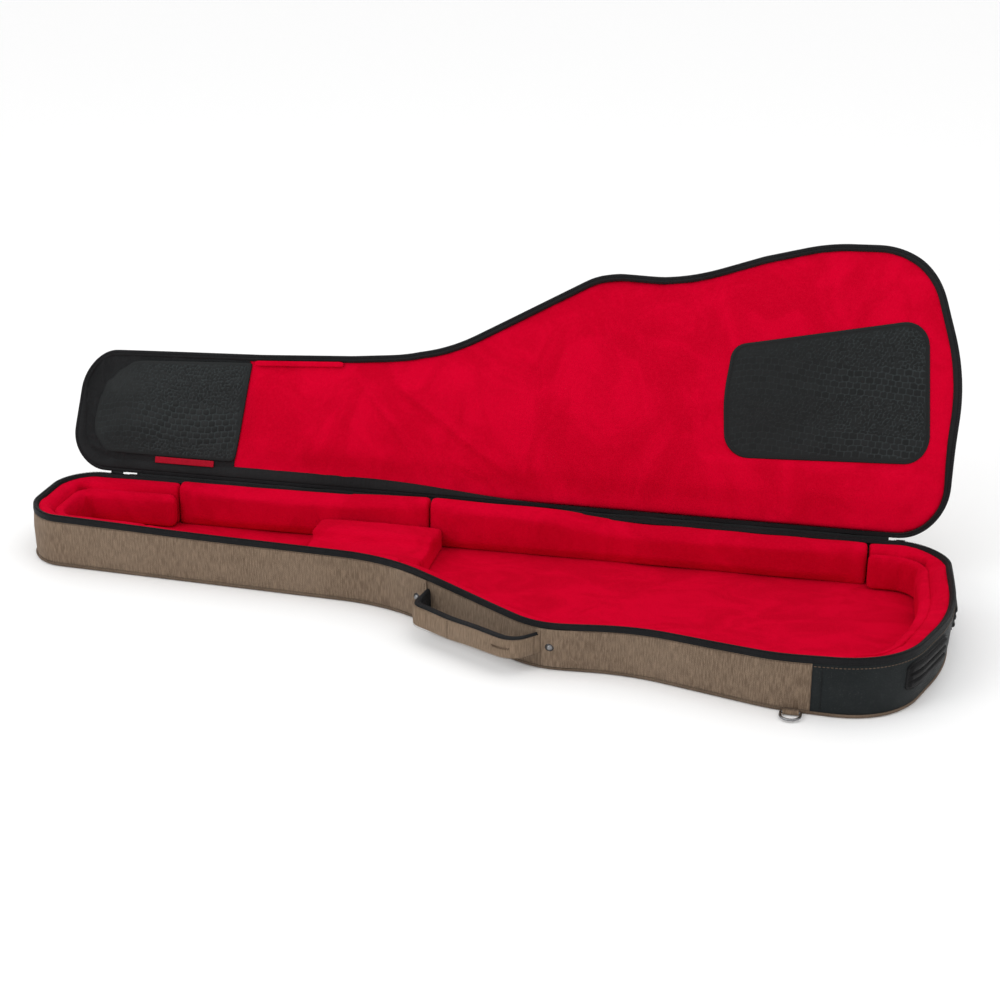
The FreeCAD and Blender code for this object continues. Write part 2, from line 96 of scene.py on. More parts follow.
def roundedLine(corners, step, closed=True):  # straight runs and tangent arcs, then even steps along the line
    at = np.array([c[:2] for c in corners], float)
    count = len(corners)
    line = []
    for i, (_, _, radius) in enumerate(corners):
        if radius == 0:
            line.append(at[i:i + 1])
            continue
        back, ahead = at[i - 1] - at[i], at[(i + 1) % count] - at[i]
        back, ahead = back / np.linalg.norm(back), ahead / np.linalg.norm(ahead)
        half = math.acos(np.clip(back @ ahead, -1, 1)) / 2
        middle = at[i] + (back + ahead) / np.linalg.norm(back + ahead) * radius / math.sin(half)
        a = at[i] + back * radius / math.tan(half) - middle
        b = at[i] + ahead * radius / math.tan(half) - middle
        turn = math.atan2(a[0] * b[1] - a[1] * b[0], a @ b)
        t = np.linspace(0, turn, max(4, int(abs(turn) * radius / step) + 2))[:, None]
        side = np.array([-a[1], a[0]])
        line.append(middle + a * np.cos(t) + side * np.sin(t))
    line = np.concatenate(line)
    if closed:
        line = np.vstack([line, line[:1]])
    gone = np.r_[0, np.cumsum(np.linalg.norm(np.diff(line, axis=0), axis=1))]
    keep = np.r_[True, np.diff(gone) > 1e-6]
    gone, line = gone[keep], line[keep]
    steps = max(3, int(round(gone[-1] / step)))
    s = np.linspace(0, gone[-1], steps + 1)
    if closed:
        s = s[:-1]
    return np.stack([np.interp(s, gone, line[:, 0]), np.interp(s, gone, line[:, 1])], 1)


def outward(line, closed=True):  # unit normals to the right of the line, outwards where it runs anticlockwise
    if closed:
        along = np.roll(line, -1, 0) - np.roll(line, 1, 0)
    else:
        along = np.gradient(line, axis=0)
    along /= np.linalg.norm(along, axis=1, keepdims=True)
    return np.stack([along[:, 1], -along[:, 0]], 1)


outlineCorners = [(-666.5, 0, 60), (-666.5, -180, 65), (-108, -212, 260), (131, -357, 110), (253, -350, 300),
                  (448, -405, 280), (598, -412, 110), (664, -235, 300), (648, 0, 80)]
rimLine = roundedLine(outlineCorners, 6)
rimOut = outward(rimLine)
rimX, rimY = rimLine.T
rimAll = np.hstack([rimLine, rimOut])
rimWhole = np.linalg.norm(rimLine - np.roll(rimLine, -1, 0), axis=1).sum()
rimGone = np.arange(len(rimLine) + 1) * rimWhole / len(rimLine)
headTurn = int(np.argmin((rimX + 666.5) ** 2 + (rimY + 90) ** 2))
bodyTurn = int(np.argmax(rimX))


def rimAt(gone):  # place and outward normal at lengths along the rim
    looped = np.vstack([rimAll, rimAll[:1]])
    return np.stack([np.interp(gone % rimWhole, rimGone, looped[:, k]) for k in range(4)], -1)


def goneTo(side, x):  # length along the rim, anticlockwise from the head, to an x on one side
    if side == "near":
        return float(np.interp(x, rimX[headTurn:bodyTurn + 1], rimGone[headTurn:bodyTurn + 1]))
    order = np.r_[bodyTurn:len(rimLine), 0:headTurn + 1]
    gone = np.r_[rimGone[bodyTurn:-1], rimGone[:headTurn + 1] + rimWhole]
    return float(np.interp(x, rimX[order][::-1], gone[::-1]))


# the rim anticlockwise from one x to another, with closer samples at its ends
def span(sideA, xA, sideB, xB, step=6):
    a, b = goneTo(sideA, xA), goneTo(sideB, xB)
    if b < a:
        b += rimWhole
    close = np.array([0.6, 1.6, 3.2, 5.5])
    return rimAt(np.r_[a, a + close, np.linspace(a + 8, b - 8, max(2, int((b - a - 16) / step))), b - close[::-1], b])


def endSpan(yA, yB, step=3):  # the rim at the body end between two y
    picked = slice(bodyTurn - 60, min(bodyTurn + 60, len(rimLine)))
    a, b = np.interp([yA, yB], rimY[picked], rimGone[:-1][picked])
    return rimAt(np.linspace(a, b, max(4, int((b - a) / step))))


def nearness(y):  # 0 on the hinge side, 1 on the near side
    return rise(-np.asarray(y, float), 20, 150)


def rimLift(x, y):  # how far the soft rim stands above its height in the frame
    near = 3 * rise(-np.asarray(x), 350, 620) - 8 * hump(x, 150, 150) + 8 * rise(x, 330, 560)
    return near * nearness(y)


def rimPush(x, y):  # how far the tub's soft rim leans out
    return (4 * hump(x, 110, 130) + 3 * hump(x, 470, 90)) * nearness(y)


def lidPush(x, y):  # how far the lid's free edge leans out of the shared outline
    places = [-640, -500, -370, -230, -130, -30, 80, 140, 220, 290, 360, 480, 600]
    return np.interp(x, places, [-3, -6, -9, -9, -5, -9, -13, -15, -12, -6, -1, -2, -4]) * nearness(y)


# placing
def tubPlace(points):  # soft rim and ends, then the hinge side is moved to its place
    p = np.array(points, float)
    foot = 1 - np.clip(p[..., 2] / bag["rim"], 0, 1)
    p[..., 0] += 9 * rise(-p[..., 0], 565, 665) - (7 * foot + 1) * rise(p[..., 0], 560, 660)
    p[..., 2] += rimLift(p[..., 0], p[..., 1]) * np.clip(p[..., 2] / bag["rim"], 0, 1.2)
    p[..., 1] += farEdge
    return p


def lidPlace(points):  # soft rim and ends, then turned open about the hinge line
    p = np.array(points, float)
    free = 0.55 + 0.45 * rise(-p[..., 1], -40, 220)
    p[..., 0] += 17 * rise(-p[..., 0], 555, 665) * free - 9 * rise(p[..., 0], 570, 660)
    lift = rimLift(p[..., 0], p[..., 1]) * np.clip(1 - p[..., 2] / bag["lidDeep"], 0, 1)
    y, z = p[..., 1] - bag["hingeOut"], p[..., 2] + lift
    p[..., 1] = hinge[1] + y * math.cos(openAngle) + z * math.sin(openAngle)
    p[..., 2] = hinge[2] - y * math.sin(openAngle) + z * math.cos(openAngle)
    return p


def carry(line, profile, push=None):  # a profile of (out, up) carried along a line of places and outward normals
    profile = np.broadcast_to(profile, (len(line),) + np.shape(profile)[-2:])
    out = profile[..., 0]
    if push is rimPush:
        out = out + push(line[:, 0], line[:, 1])[:, None] * np.clip(profile[..., 1] / bag["rim"], 0, 1)
    if push is lidPush:
        out = out + push(line[:, 0], line[:, 1])[:, None]
    flat = line[:, None, :2] + line[:, None, 2:] * out[..., None]
    return np.dstack([flat, profile[..., 1]])


# meshes
def measured(points, closed):  # running length along a row of points, in metres
    row = np.vstack([points, points[:1]]) if closed else points
    return np.r_[0, np.cumsum(np.linalg.norm(np.diff(row, axis=0), axis=1))] * mm


def gridQuads(rows, columns, closeRows, closeColumns):
    i = np.arange(rows if closeRows else rows - 1)[:, None]
    j = np.arange(columns if closeColumns else columns - 1)[None]
    i2, j2 = (i + 1) % rows, (j + 1) % columns
    quads = np.stack([i * columns + j, i2 * columns + j, i2 * columns + j2, i * columns + j2], -1)
    corners = np.stack([np.stack([a + 0 * j, b + 0 * i], -1) for a, b in
                        ((i, j), (i + 1, j), (i + 1, j + 1), (i, j + 1))], -2)
    return quads.reshape(-1, 4), corners.reshape(-1, 4, 2)


def makePiece(name, points, faces, materials, uv=None, faceMaterial=None):  # points in mm, faces of any size
    mesh = bpy.data.meshes.new(name)
    mesh.from_pydata((np.asarray(points, float).reshape(-1, 3) * mm).tolist(), [], faces)
    mesh.polygons.foreach_set("use_smooth", np.ones(len(faces), bool))
    if uv is not None:
        layer = mesh.uv_layers.new(name="cloth")
        layer.data.foreach_set("uv", np.asarray(uv, np.float32).ravel())
    for material in materials if isinstance(materials, (list, tuple)) else [materials]:
        mesh.materials.append(material)
    if faceMaterial is not None:
        mesh.polygons.foreach_set("material_index", np.asarray(faceMaterial, np.int32))
    mesh.update()
    piece = bpy.data.objects.new(name, mesh)
    bpy.context.scene.collection.objects.link(piece)
    return piece


def surface(name, grid, material, closeRows=False, closeColumns=True):
    # rows of points joined by quads, ends capped where only the columns close, and turned so that faces point out
    rows, columns = grid.shape[:2]
    quads, corners = gridQuads(rows, columns, closeRows, closeColumns)
    along = measured(grid[:, 0], closeRows)
    around = measured(grid[rows // 2], closeColumns)
    uv = np.stack([along[corners[..., 0]], around[corners[..., 1]]], -1)
    p = grid.reshape(-1, 3)
    a, b, c, d = (p[quads[:, k]] for k in range(4))
    volume = np.einsum("ij,ij->i", np.cross(c - a, d - b), a + b + c + d).sum()
    faces, uvs = quads.tolist(), uv.reshape(-1, 2)
    if closeColumns and not closeRows:
        first = np.arange(columns)[::-1]
        last = first[::-1] + (rows - 1) * columns
        section = np.stack([np.hypot(*(grid[0] - grid[0, 0]).T[:2]), grid[0, :, 2]], 1) * mm
        faces += [first.tolist(), last.tolist()]
        uvs = np.vstack([uvs, section[::-1], section])
    if volume < 0:
        sizes = [len(f) for f in faces]
        starts = np.r_[0, np.cumsum(sizes)]
        turned = np.concatenate([np.arange(starts[k + 1] - 1, starts[k] - 1, -1) for k in range(len(sizes))])
        uvs = uvs[turned]
        faces = [f[::-1] for f in faces]
    return makePiece(name, p, faces, material, uvs)


def finish(piece, body, slot, *replaced):
    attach(piece, body)
    if replaced:
        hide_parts(*replaced)
    return piece


def edges(line):  # a closed line's lower and upper runs, as y over x
    line = np.roll(line, -np.argmin(line[:, 0]), 0)
    last = np.argmax(line[:, 0])
    lower, upper = line[:last + 1], np.vstack([line[last:], line[:1]])[::-1]
    rising = lambda run: (np.maximum.accumulate(run[:, 0]) + np.arange(len(run)) * 1e-7, run[:, 1])
    return rising(lower), rising(upper)


def clearOf(points, line):  # distance from flat points to a closed line
    flat = points.reshape(-1, 2)
    a, b = line, np.roll(line, -1, 0)
    best = np.full(len(flat), 1e9)
    for k in range(0, len(flat), 4000):
        p = flat[k:k + 4000, None]
        t = np.clip(((p - a) * (b - a)).sum(-1) / ((b - a) ** 2).sum(-1), 0, 1)[..., None]
        best[k:k + 4000] = np.sqrt(((a + (b - a) * t - p) ** 2).sum(-1)).min(1)
    return best.reshape(points.shape[:-1])


def cushionGrid(line, low, high, edge, step, across=None):
    # a slab inside a closed line: each row is a section across it, its top and bottom meeting in a round edge
    (lowX, lowY), (highX, highY) = edges(line)
    x0, x1 = line[:, 0].min() + 0.02, line[:, 0].max() - 0.02
    even = np.linspace(0, 1, max(8, int((x1 - x0) / step)))
    reach = min(0.25, 2.5 * edge / (x1 - x0) + 0.02)
    xs = x0 + (x1 - x0) * np.unique(np.r_[even, reach * (1 - np.cos(even[::2] * pi / 2)),
                                          1 - reach * (1 - np.cos(even[::2] * pi / 2))].round(5))
    near, far = np.interp(xs, lowX, lowY), np.interp(xs, highX, highY)
    width = (far - near).max()
    count = across or max(8, int(width / step))
    q = min(0.3, edge / width)
    t = np.unique(np.r_[np.linspace(q, 1 - q, count), q * (1 - np.cos(np.linspace(0, pi / 2, 5))),
                        1 - q * (1 - np.cos(np.linspace(0, pi / 2, 5)))].round(6))
    flat = np.stack([np.repeat(xs[:, None], len(t), 1), near[:, None] + (far - near)[:, None] * t], -1)
    inset = clearOf(flat, line)
    full = np.sqrt(1 - (1 - np.clip(inset / edge, 0, 1)) ** 2)
    top = high(flat[..., 0], flat[..., 1], inset) if callable(high) else np.full(inset.shape, float(high))
    bottom = low(flat[..., 0], flat[..., 1], inset) if callable(low) else np.full(inset.shape, float(low))
    middle = (top + bottom) / 2
    upper = np.dstack([flat, middle + (top - middle) * full])
    lower = np.dstack([flat, middle + (bottom - middle) * full])[:, ::-1]
    return np.concatenate([upper, lower[:, 1:-1]], 1)


def inLine(distance):  # the rim's line moved inwards
    return rimLine - rimOut * distance


# shader building
def add(tree, kind, inputs=None, **settings):  # one node; inputs by name or number, each a value or another socket
    made = tree.nodes.new("ShaderNode" + kind)
    for key, value in settings.items():
        setattr(made, key, value)
    for key, value in (inputs or {}).items():
        if isinstance(value, bpy.types.NodeSocket):
            tree.links.new(value, made.inputs[key])
        else:
            made.inputs[key].default_value = value
    return made


def sums(tree, operation, a, b=0.0, c=0.0):
    return add(tree, "Math", {0: a, 1: b, 2: c}, operation=operation).outputs[0]


def between(tree, value, low, high, to0=0.0, to1=1.0):  # a soft step from to0 at low to to1 at high
    made = add(tree, "MapRange", {0: value, 1: low, 2: high, 3: to0, 4: to1}, interpolation_type="SMOOTHSTEP")
    return made.outputs[0]


def mixed(tree, share, a, b):
    made = add(tree, "Mix", {0: share, 6: a, 7: b}, data_type="RGBA")
    return made.outputs[2]


def newGroup(name, inputs, outputs):
    tree = bpy.data.node_groups.new(name, "ShaderNodeTree")
    kinds = {"f": "NodeSocketFloat", "c": "NodeSocketColor", "v": "NodeSocketVector"}
    for label, kind, value in inputs:
        made = tree.interface.new_socket(name=label, in_out="INPUT", socket_type=kinds[kind])
        if value is not None:
            made.default_value = value
    for label, kind in outputs:
        tree.interface.new_socket(name=label, in_out="OUTPUT", socket_type=kinds[kind])
    return tree, tree.nodes.new("NodeGroupInput"), tree.nodes.new("NodeGroupOutput")


def weaveGroup():  # plain weave: two crossed waves over the cloth's own UV, one over and one under by turns
    tree, given, out = newGroup("weave", [("Cloth", "v", None), ("Threads", "f", 1100.0), ("Rib", "f", 1.0)],
                                [("Height", "f"), ("Across", "f"), ("Streak", "f")])
    parts = add(tree, "SeparateXYZ", {0: given.outputs["Cloth"]})
    u = sums(tree, "MULTIPLY", parts.outputs[0], given.outputs["Threads"])
    v = sums(tree, "MULTIPLY", sums(tree, "MULTIPLY", parts.outputs[1], given.outputs["Threads"]),
             given.outputs["Rib"])
    waveU = sums(tree, "ABSOLUTE", sums(tree, "SINE", sums(tree, "MULTIPLY", u, pi)))
    waveV = sums(tree, "ABSOLUTE", sums(tree, "SINE", sums(tree, "MULTIPLY", v, pi)))
    turn = sums(tree, "PINGPONG", sums(tree, "ADD", sums(tree, "FLOOR", u), sums(tree, "FLOOR", v)), 1.0)
    height = add(tree, "Mix", {0: turn, 2: waveU, 3: waveV}).outputs[0]
    scaled = add(tree, "VectorMath", {0: given.outputs["Cloth"], 1: (640.0, 60.0, 1.0)}, operation="MULTIPLY")
    streak = add(tree, "TexNoise", {"Vector": scaled.outputs[0], "Scale": 1.0, "Detail": 3.0, "Roughness": 0.75})
    tree.links.new(height, out.inputs["Height"])
    tree.links.new(turn, out.inputs["Across"])
    tree.links.new(streak.outputs[0], out.inputs["Streak"])
    return tree


def dustGroup():  # slow uneven patches plus fine specks, over the whole object
    tree, given, out = newGroup("handled", [("Place", "v", None), ("Patch", "f", 9.0)],
                                [("Patches", "f"), ("Specks", "f")])
    slow = add(tree, "TexNoise", {"Vector": given.outputs["Place"], "Scale": given.outputs["Patch"], "Detail": 4.0,
                                  "Roughness": 0.6})
    fine = add(tree, "TexNoise", {"Vector": given.outputs["Place"], "Scale": 900.0, "Detail": 2.0})
    tree.links.new(slow.outputs[0], out.inputs["Patches"])
    tree.links.new(between(tree, fine.outputs[0], 0.62, 0.78), out.inputs["Specks"])
    return tree


def pileGroup():  # brushed plush: tufts a millimetre apart, and patches where the pile lies another way
    tree, given, out = newGroup("pile", [("Place", "v", None), ("Tuft", "f", 800.0)],
                                [("Height", "f"), ("Brushed", "f"), ("Fleck", "f")])
    place = given.outputs["Place"]
    tuft = add(tree, "TexNoise", {"Vector": place, "Scale": given.outputs["Tuft"], "Detail": 3.0, "Roughness": 0.7})
    stretched = add(tree, "VectorMath", {0: place, 1: (11.0, 16.0, 8.0)}, operation="MULTIPLY")
    brushed = add(tree, "TexNoise", {"Vector": stretched.outputs[0], "Scale": 1.0, "Detail": 5.0, "Roughness": 0.62,
                                     "Distortion": 0.9})
    fleck = add(tree, "TexNoise", {"Vector": place, "Scale": 260.0, "Detail": 4.0, "Roughness": 0.8})
    tree.links.new(tuft.outputs[0], out.inputs["Height"])
    tree.links.new(between(tree, brushed.outputs[0], 0.38, 0.64), out.inputs["Brushed"])
    tree.links.new(fleck.outputs[0], out.inputs["Fleck"])
    return tree


weave, handled, pile = weaveGroup(), dustGroup(), pileGroup()


def newMaterial(name):
    material = bpy.data.materials.new(name)
    material.use_nodes = True
    tree = material.node_tree
    return material, tree, tree.nodes["Principled BSDF"]


def place(tree):
    return add(tree, "TexCoord").outputs["Object"]


def clothUv(tree):
    return add(tree, "UVMap", uv_map="cloth").outputs[0]


def placed(tree, group, **inputs):
    made = tree.nodes.new("ShaderNodeGroup")
    made.node_tree = group
    for key, value in inputs.items():
        if isinstance(value, bpy.types.NodeSocket):
            tree.links.new(value, made.inputs[key])
        else:
            made.inputs[key].default_value = value
    return made.outputs


def bumped(tree, shader, height, distance, strength=1.0):
    bump = add(tree, "Bump", {"Height": height, "Distance": distance, "Strength": strength})
    tree.links.new(bump.outputs[0], shader.inputs["Normal"])


# cloth whose threads follow its UV: two yarn colours, streaks, wear, a weave in relief, and painted shade in the gaps
# between threads
def wovenMaterial(name, look):
    material, tree, shader = newMaterial(name)
    threads = placed(tree, weave, Cloth=clothUv(tree), Threads=look["threads"], Rib=look["rib"])
    worn = placed(tree, handled, Place=place(tree), Patch=look.get("patch", 9.0))
    streaks = between(tree, threads["Streak"], 0.36, 0.64)
    yarn = mixed(tree, sums(tree, "MULTIPLY", streaks, look["streak"]), look["dark"] + (1,), look["light"] + (1,))
    tone = mixed(tree, between(tree, worn["Patches"], 0.3, 0.75, 0.0, look["wear"]), yarn, look["pale"] + (1,))
    # painted shade: the low places between threads are darkened towards the dark yarn, by as much as the gap setting
    # says
    paintedGapShade = mixed(tree, sums(tree, "MULTIPLY", sums(tree, "SUBTRACT", 1.0, threads["Height"]), look["gap"]), tone,
                   tuple(0.35 * c for c in look["dark"]) + (1,))
    tree.links.new(paintedGapShade, shader.inputs["Base Color"])
    tree.links.new(between(tree, worn["Patches"], 0.2, 0.8, look["rough"] + 0.06, look["rough"] - 0.06),
                   shader.inputs["Roughness"])
    shader.inputs["Specular IOR Level"].default_value = look["shine"]
    shader.inputs["Sheen Weight"].default_value = look["sheen"]
    shader.inputs["Sheen Roughness"].default_value = 0.45
    bumped(tree, shader, threads["Height"], look["relief"])
    return material


def plushMaterial(name, look):  # short red pile: patches brushed lighter or darker, tufts in relief, a soft edge glow
    material, tree, shader = newMaterial(name)
    fur = placed(tree, pile, Place=place(tree), Tuft=look["tuft"])
    base = mixed(tree, fur["Brushed"], look["deep"] + (1,), look["bright"] + (1,))
    flecked = mixed(tree, between(tree, fur["Fleck"], 0.35, 0.75, 0.0, look["fleck"]), base, look["pale"] + (1,))
    tree.links.new(flecked, shader.inputs["Base Color"])
    tree.links.new(between(tree, fur["Brushed"], 0, 1, 0.95, 0.82), shader.inputs["Roughness"])
    shader.inputs["Specular IOR Level"].default_value = 0.01
    shader.inputs["Sheen Weight"].default_value = look["sheen"]
    shader.inputs["Sheen Roughness"].default_value = 0.5
    shader.inputs["Sheen Tint"].default_value = look["glow"] + (1,)
    bumped(tree, shader, fur["Height"], look["relief"])
    return material


def grainMaterial(name, look):  # moulded or coated black: fine grain, dusty high spots
    material, tree, shader = newMaterial(name)
    worn = placed(tree, handled, Place=place(tree), Patch=look.get("patch", 12.0))
    grain = add(tree, "TexVoronoi", {"Vector": place(tree), "Scale": look["grain"]}, feature="DISTANCE_TO_EDGE")
    ridge = between(tree, grain.outputs["Distance"], 0.0, 0.25)
    tone = mixed(tree, between(tree, worn["Patches"], 0.35, 0.75), look["dark"] + (1,), look["light"] + (1,))
    dusty = mixed(tree, sums(tree, "MULTIPLY", worn["Specks"], look["dust"]), tone, (0.35, 0.34, 0.33, 1))
    tree.links.new(dusty, shader.inputs["Base Color"])
    tree.links.new(between(tree, worn["Patches"], 0.25, 0.75, look["rough"] - 0.07, look["rough"] + 0.07),
                   shader.inputs["Roughness"])
    shader.inputs["Specular IOR Level"].default_value = look["shine"]
    bumped(tree, shader, ridge, look["relief"])
    return material


def hideMaterial(name, look):  # embossed scales: the mesh carries each scale's height and its own random shade; the grooves between scales get a lighter colour, a painted reflection
    material, tree, shader = newMaterial(name)
    worn = placed(tree, handled, Place=place(tree), Patch=10.0)
    height = add(tree, "Attribute", attribute_name="scaleHeight").outputs["Fac"]
    shade = add(tree, "Attribute", attribute_name="scaleShade").outputs["Fac"]
    pores = add(tree, "TexVoronoi", {"Vector": place(tree), "Scale": 1500.0})
    tone = mixed(tree, shade, look["dark"] + (1,), look["light"] + (1,))
    # painted reflection: low places between scales take the lighter groove colour
    withPaintedGrooveReflection = mixed(tree, between(tree, height, 0.1, 0.7), look["groove"] + (1,), tone)
    worked = mixed(tree, between(tree, worn["Patches"], 0.45, 0.8, 0.0, 0.25), withPaintedGrooveReflection, look["light"] + (1,))
    tree.links.new(worked, shader.inputs["Base Color"])
    tree.links.new(between(tree, height, 0.2, 0.9, look["rough"] + 0.2, look["rough"]), shader.inputs["Roughness"])
    shader.inputs["Specular IOR Level"].default_value = look["shine"]
    bumped(tree, shader, pores.outputs["Distance"], 0.00006)
    return material


def metalMaterial(name, look):
    material, tree, shader = newMaterial(name)
    worn = placed(tree, handled, Place=place(tree), Patch=120.0)
    tone = mixed(tree, worn["Patches"], look["dark"] + (1,), look["light"] + (1,))
    tree.links.new(tone, shader.inputs["Base Color"])
    tree.links.new(between(tree, worn["Patches"], 0.3, 0.7, look["rough"] - 0.05, look["rough"] + 0.12),
                   shader.inputs["Roughness"])
    shader.inputs["Metallic"].default_value = 1.0
    return material


tanLook = dict(threads=620.0, rib=1.0, dark=(0.150, 0.102, 0.068), light=(0.290, 0.207, 0.143),
               pale=(0.33, 0.242, 0.172), streak=1.0, wear=0.35, gap=0.35, rough=0.86, shine=0.1, sheen=0.06,
               relief=0.0005)
tanCloth = wovenMaterial("tanWeave", tanLook)
tanStrap = wovenMaterial("tanHandleWeave", dict(tanLook, dark=(0.168, 0.115, 0.074), light=(0.310, 0.22, 0.15)))
tanCord = wovenMaterial("tanCordWeave", dict(tanLook, dark=(0.10, 0.068, 0.046), light=(0.18, 0.127, 0.09)))
tapeCloth = wovenMaterial("zipTapeWeave", dict(threads=900.0, rib=0.35, dark=(0.006, 0.006, 0.007),
                                               light=(0.011, 0.011, 0.012), pale=(0.018, 0.018, 0.020), streak=0.8,
                                               wear=0.4, gap=0.3, rough=0.6, shine=0.1, sheen=0.02, relief=0.0003))
gussetCloth = wovenMaterial("gussetWeave", dict(threads=1300.0, rib=1.0, dark=(0.008, 0.0085, 0.009),
                                                light=(0.014, 0.015, 0.016), pale=(0.024, 0.025, 0.027),
                                                streak=0.8, wear=0.4, gap=0.3, rough=0.62, shine=0.12, sheen=0.02,
                                                relief=0.0002))
redPlush = plushMaterial("redPlush", dict(tuft=800.0, deep=(0.50, 0.0001, 0.0155), bright=(0.60, 0.0002, 0.0215),
                                          pale=(0.72, 0.006, 0.034), fleck=0.25, sheen=0.12,
                                          glow=(1.0, 0.02, 0.08), relief=0.0006))
coated = grainMaterial("coatedCloth", dict(grain=1400.0, dark=(0.0095, 0.0122, 0.013), light=(0.0172, 0.0208, 0.0218),
                                           dust=0.2, rough=0.5, shine=0.12, relief=0.00016))
# groove: the lighter colour painted into the grooves as their reflection
hide = hideMaterial("embossedHide", dict(dark=(0.0075, 0.0088, 0.009), light=(0.0135, 0.0155, 0.016),
                                         groove=(0.027, 0.034, 0.035), rough=0.42, shine=0.13))
rubber = grainMaterial("bumperRubber", dict(grain=2200.0, dark=(0.006, 0.006, 0.0065), light=(0.011, 0.011, 0.0118),
                                            dust=0.1, rough=0.5, shine=0.12, relief=0.00008))
coilNylon = grainMaterial("coilNylon", dict(grain=3000.0, dark=(0.008, 0.008, 0.009), light=(0.016, 0.016, 0.018),
                                            dust=0.0, rough=0.4, shine=0.2, relief=0.00004))
nickel = metalMaterial("darkNickel", dict(dark=(0.14, 0.14, 0.145), light=(0.34, 0.34, 0.35), rough=0.27))
gunmetal = metalMaterial("gunmetal", dict(dark=(0.03, 0.029, 0.03), light=(0.075, 0.073, 0.076), rough=0.17))
thread = grainMaterial("blackThread", dict(grain=2600.0, dark=(0.010, 0.010, 0.011), light=(0.02, 0.02, 0.022),
                                           dust=0.0, rough=0.6, shine=0.15, relief=0.00005))
tanThread = grainMaterial("tanThread", dict(grain=2600.0, dark=(0.10, 0.066, 0.045), light=(0.16, 0.11, 0.08),
                                            dust=0.0, rough=0.7, shine=0.3, relief=0.00005))
brownThread = grainMaterial("brownThread", dict(grain=2600.0, dark=(0.055, 0.033, 0.02), light=(0.09, 0.055, 0.035),
                                                dust=0.0, rough=0.7, shine=0.2, relief=0.00005))
tagCloth = wovenMaterial("labelWeave", dict(threads=1800.0, rib=0.5, dark=(0.36, 0.004, 0.018),
                                            light=(0.46, 0.008, 0.026), pale=(0.50, 0.02, 0.04), streak=0.6, wear=0.2,
                                            gap=0.2, rough=0.6, shine=0.06, sheen=0.0, relief=0.00012))
for material, names in ((nickel, ["d_ring_near", "d_ring_far", "main_slider_head", "main_slider_end",
                                  "accessory_slider", "slim_slider", "main_pull_head", "main_pull_end",
                                  "accessory_pull", "slim_pull"]),):
    for name in names:
        nodes[name].data.materials.clear()
        nodes[name].data.materials.append(material)
print("materials made")


# soft filling
def puff(piece, voxel, pressure, cap, hold=None, subdivide=1, frames=20):
    # remeshed cloth blown up a little from inside; no point moves further than cap, and hold says where it may move
    bpy.context.view_layer.objects.active = piece
    remesh = piece.modifiers.new("remesh", "REMESH")
    remesh.mode, remesh.voxel_size, remesh.use_smooth_shade = "VOXEL", voxel * mm, True
    bpy.ops.object.modifier_apply(modifier="remesh")
    count = len(piece.data.vertices)
    rest = np.zeros(count * 3, np.float32)
    piece.data.vertices.foreach_get("co", rest)
    rest = rest.reshape(-1, 3).astype(float)
    cloth = piece.modifiers.new("cloth", "CLOTH")
    settings = cloth.settings
    settings.quality, settings.mass = 4, 0.3
    settings.use_pressure, settings.uniform_pressure_force = True, pressure
    settings.effector_weights.gravity = 0
    settings.tension_stiffness = settings.compression_stiffness = 12
    settings.bending_stiffness = 1.5
    cloth.collision_settings.use_collision = False
    cloth.point_cache.frame_end = frames
    for k in range(1, frames + 1):
        bpy.context.scene.frame_set(k)
    blown = piece.evaluated_get(bpy.context.evaluated_depsgraph_get()).to_mesh()
    moved = np.zeros(count * 3, np.float32)
    blown.vertices.foreach_get("co", moved)
    piece.evaluated_get(bpy.context.evaluated_depsgraph_get()).to_mesh_clear()
    piece.modifiers.remove(cloth)
    bpy.context.scene.frame_set(1)
    shift = moved.reshape(-1, 3) - rest
    far = np.linalg.norm(shift, axis=1, keepdims=True)
    shift *= np.minimum(1, cap * mm / np.maximum(far, 1e-9))
    if hold is not None:
        shift *= hold(rest / mm)[:, None]
    piece.data.vertices.foreach_set("co", (rest + shift).astype(np.float32).ravel())
    if subdivide:
        finer = piece.modifiers.new("finer", "SUBSURF")
        finer.levels = finer.render_levels = subdivide
        bpy.ops.object.modifier_apply(modifier="finer")
    piece.data.polygons.foreach_set("use_smooth", np.ones(len(piece.data.polygons), bool))
    piece.data.update()
    return piece


def reshape(piece, change):  # moves a finished mesh's points: change takes and gives places in mm
    count = len(piece.data.vertices)
    at = np.zeros(count * 3, np.float32)
    piece.data.vertices.foreach_get("co", at)
    new = change(at.reshape(-1, 3).astype(float) / mm) * mm
    piece.data.vertices.foreach_set("co", new.astype(np.float32).ravel())
    piece.data.update()
    return piece


def beads(name, at, along, up, length, width, height, material, place=None):
    # one small rounded bead per place: a six-sided spindle turned to lie along its line
    t = np.array([-0.5, -0.32, 0.32, 0.5])[:, None]
    r = np.array([0.25, 1.0, 1.0, 0.25])[:, None] * 0.5
    a = np.arange(6) * pi / 3
    shape = np.stack([np.broadcast_to(t * length, (4, 6)), r * np.cos(a) * width, r * np.sin(a) * height],
                     -1).reshape(-1, 3)
    quads, _ = gridQuads(4, 6, False, True)
    along = along / np.linalg.norm(along, axis=1, keepdims=True)
    up = up - along * (up * along).sum(1, keepdims=True)
    up /= np.linalg.norm(up, axis=1, keepdims=True)
    side = np.cross(up, along)
    points = at[:, None] + shape[None, :, :1] * along[:, None] + shape[None, :, 1:2] * side[:, None] \
        + shape[None, :, 2:] * up[:, None]
    if place is not None:
        points = place(points)
    count = len(at)
    starts = np.arange(count)[:, None, None] * 24
    faces = (quads[None, :, ::-1] + starts).reshape(-1, 4).tolist()
    caps = np.stack([np.arange(6), 18 + np.arange(5, -1, -1)])  # the two end faces
    faces += (caps[None] + starts).reshape(-1, 6).tolist()
    return makePiece(name, points, faces, material)


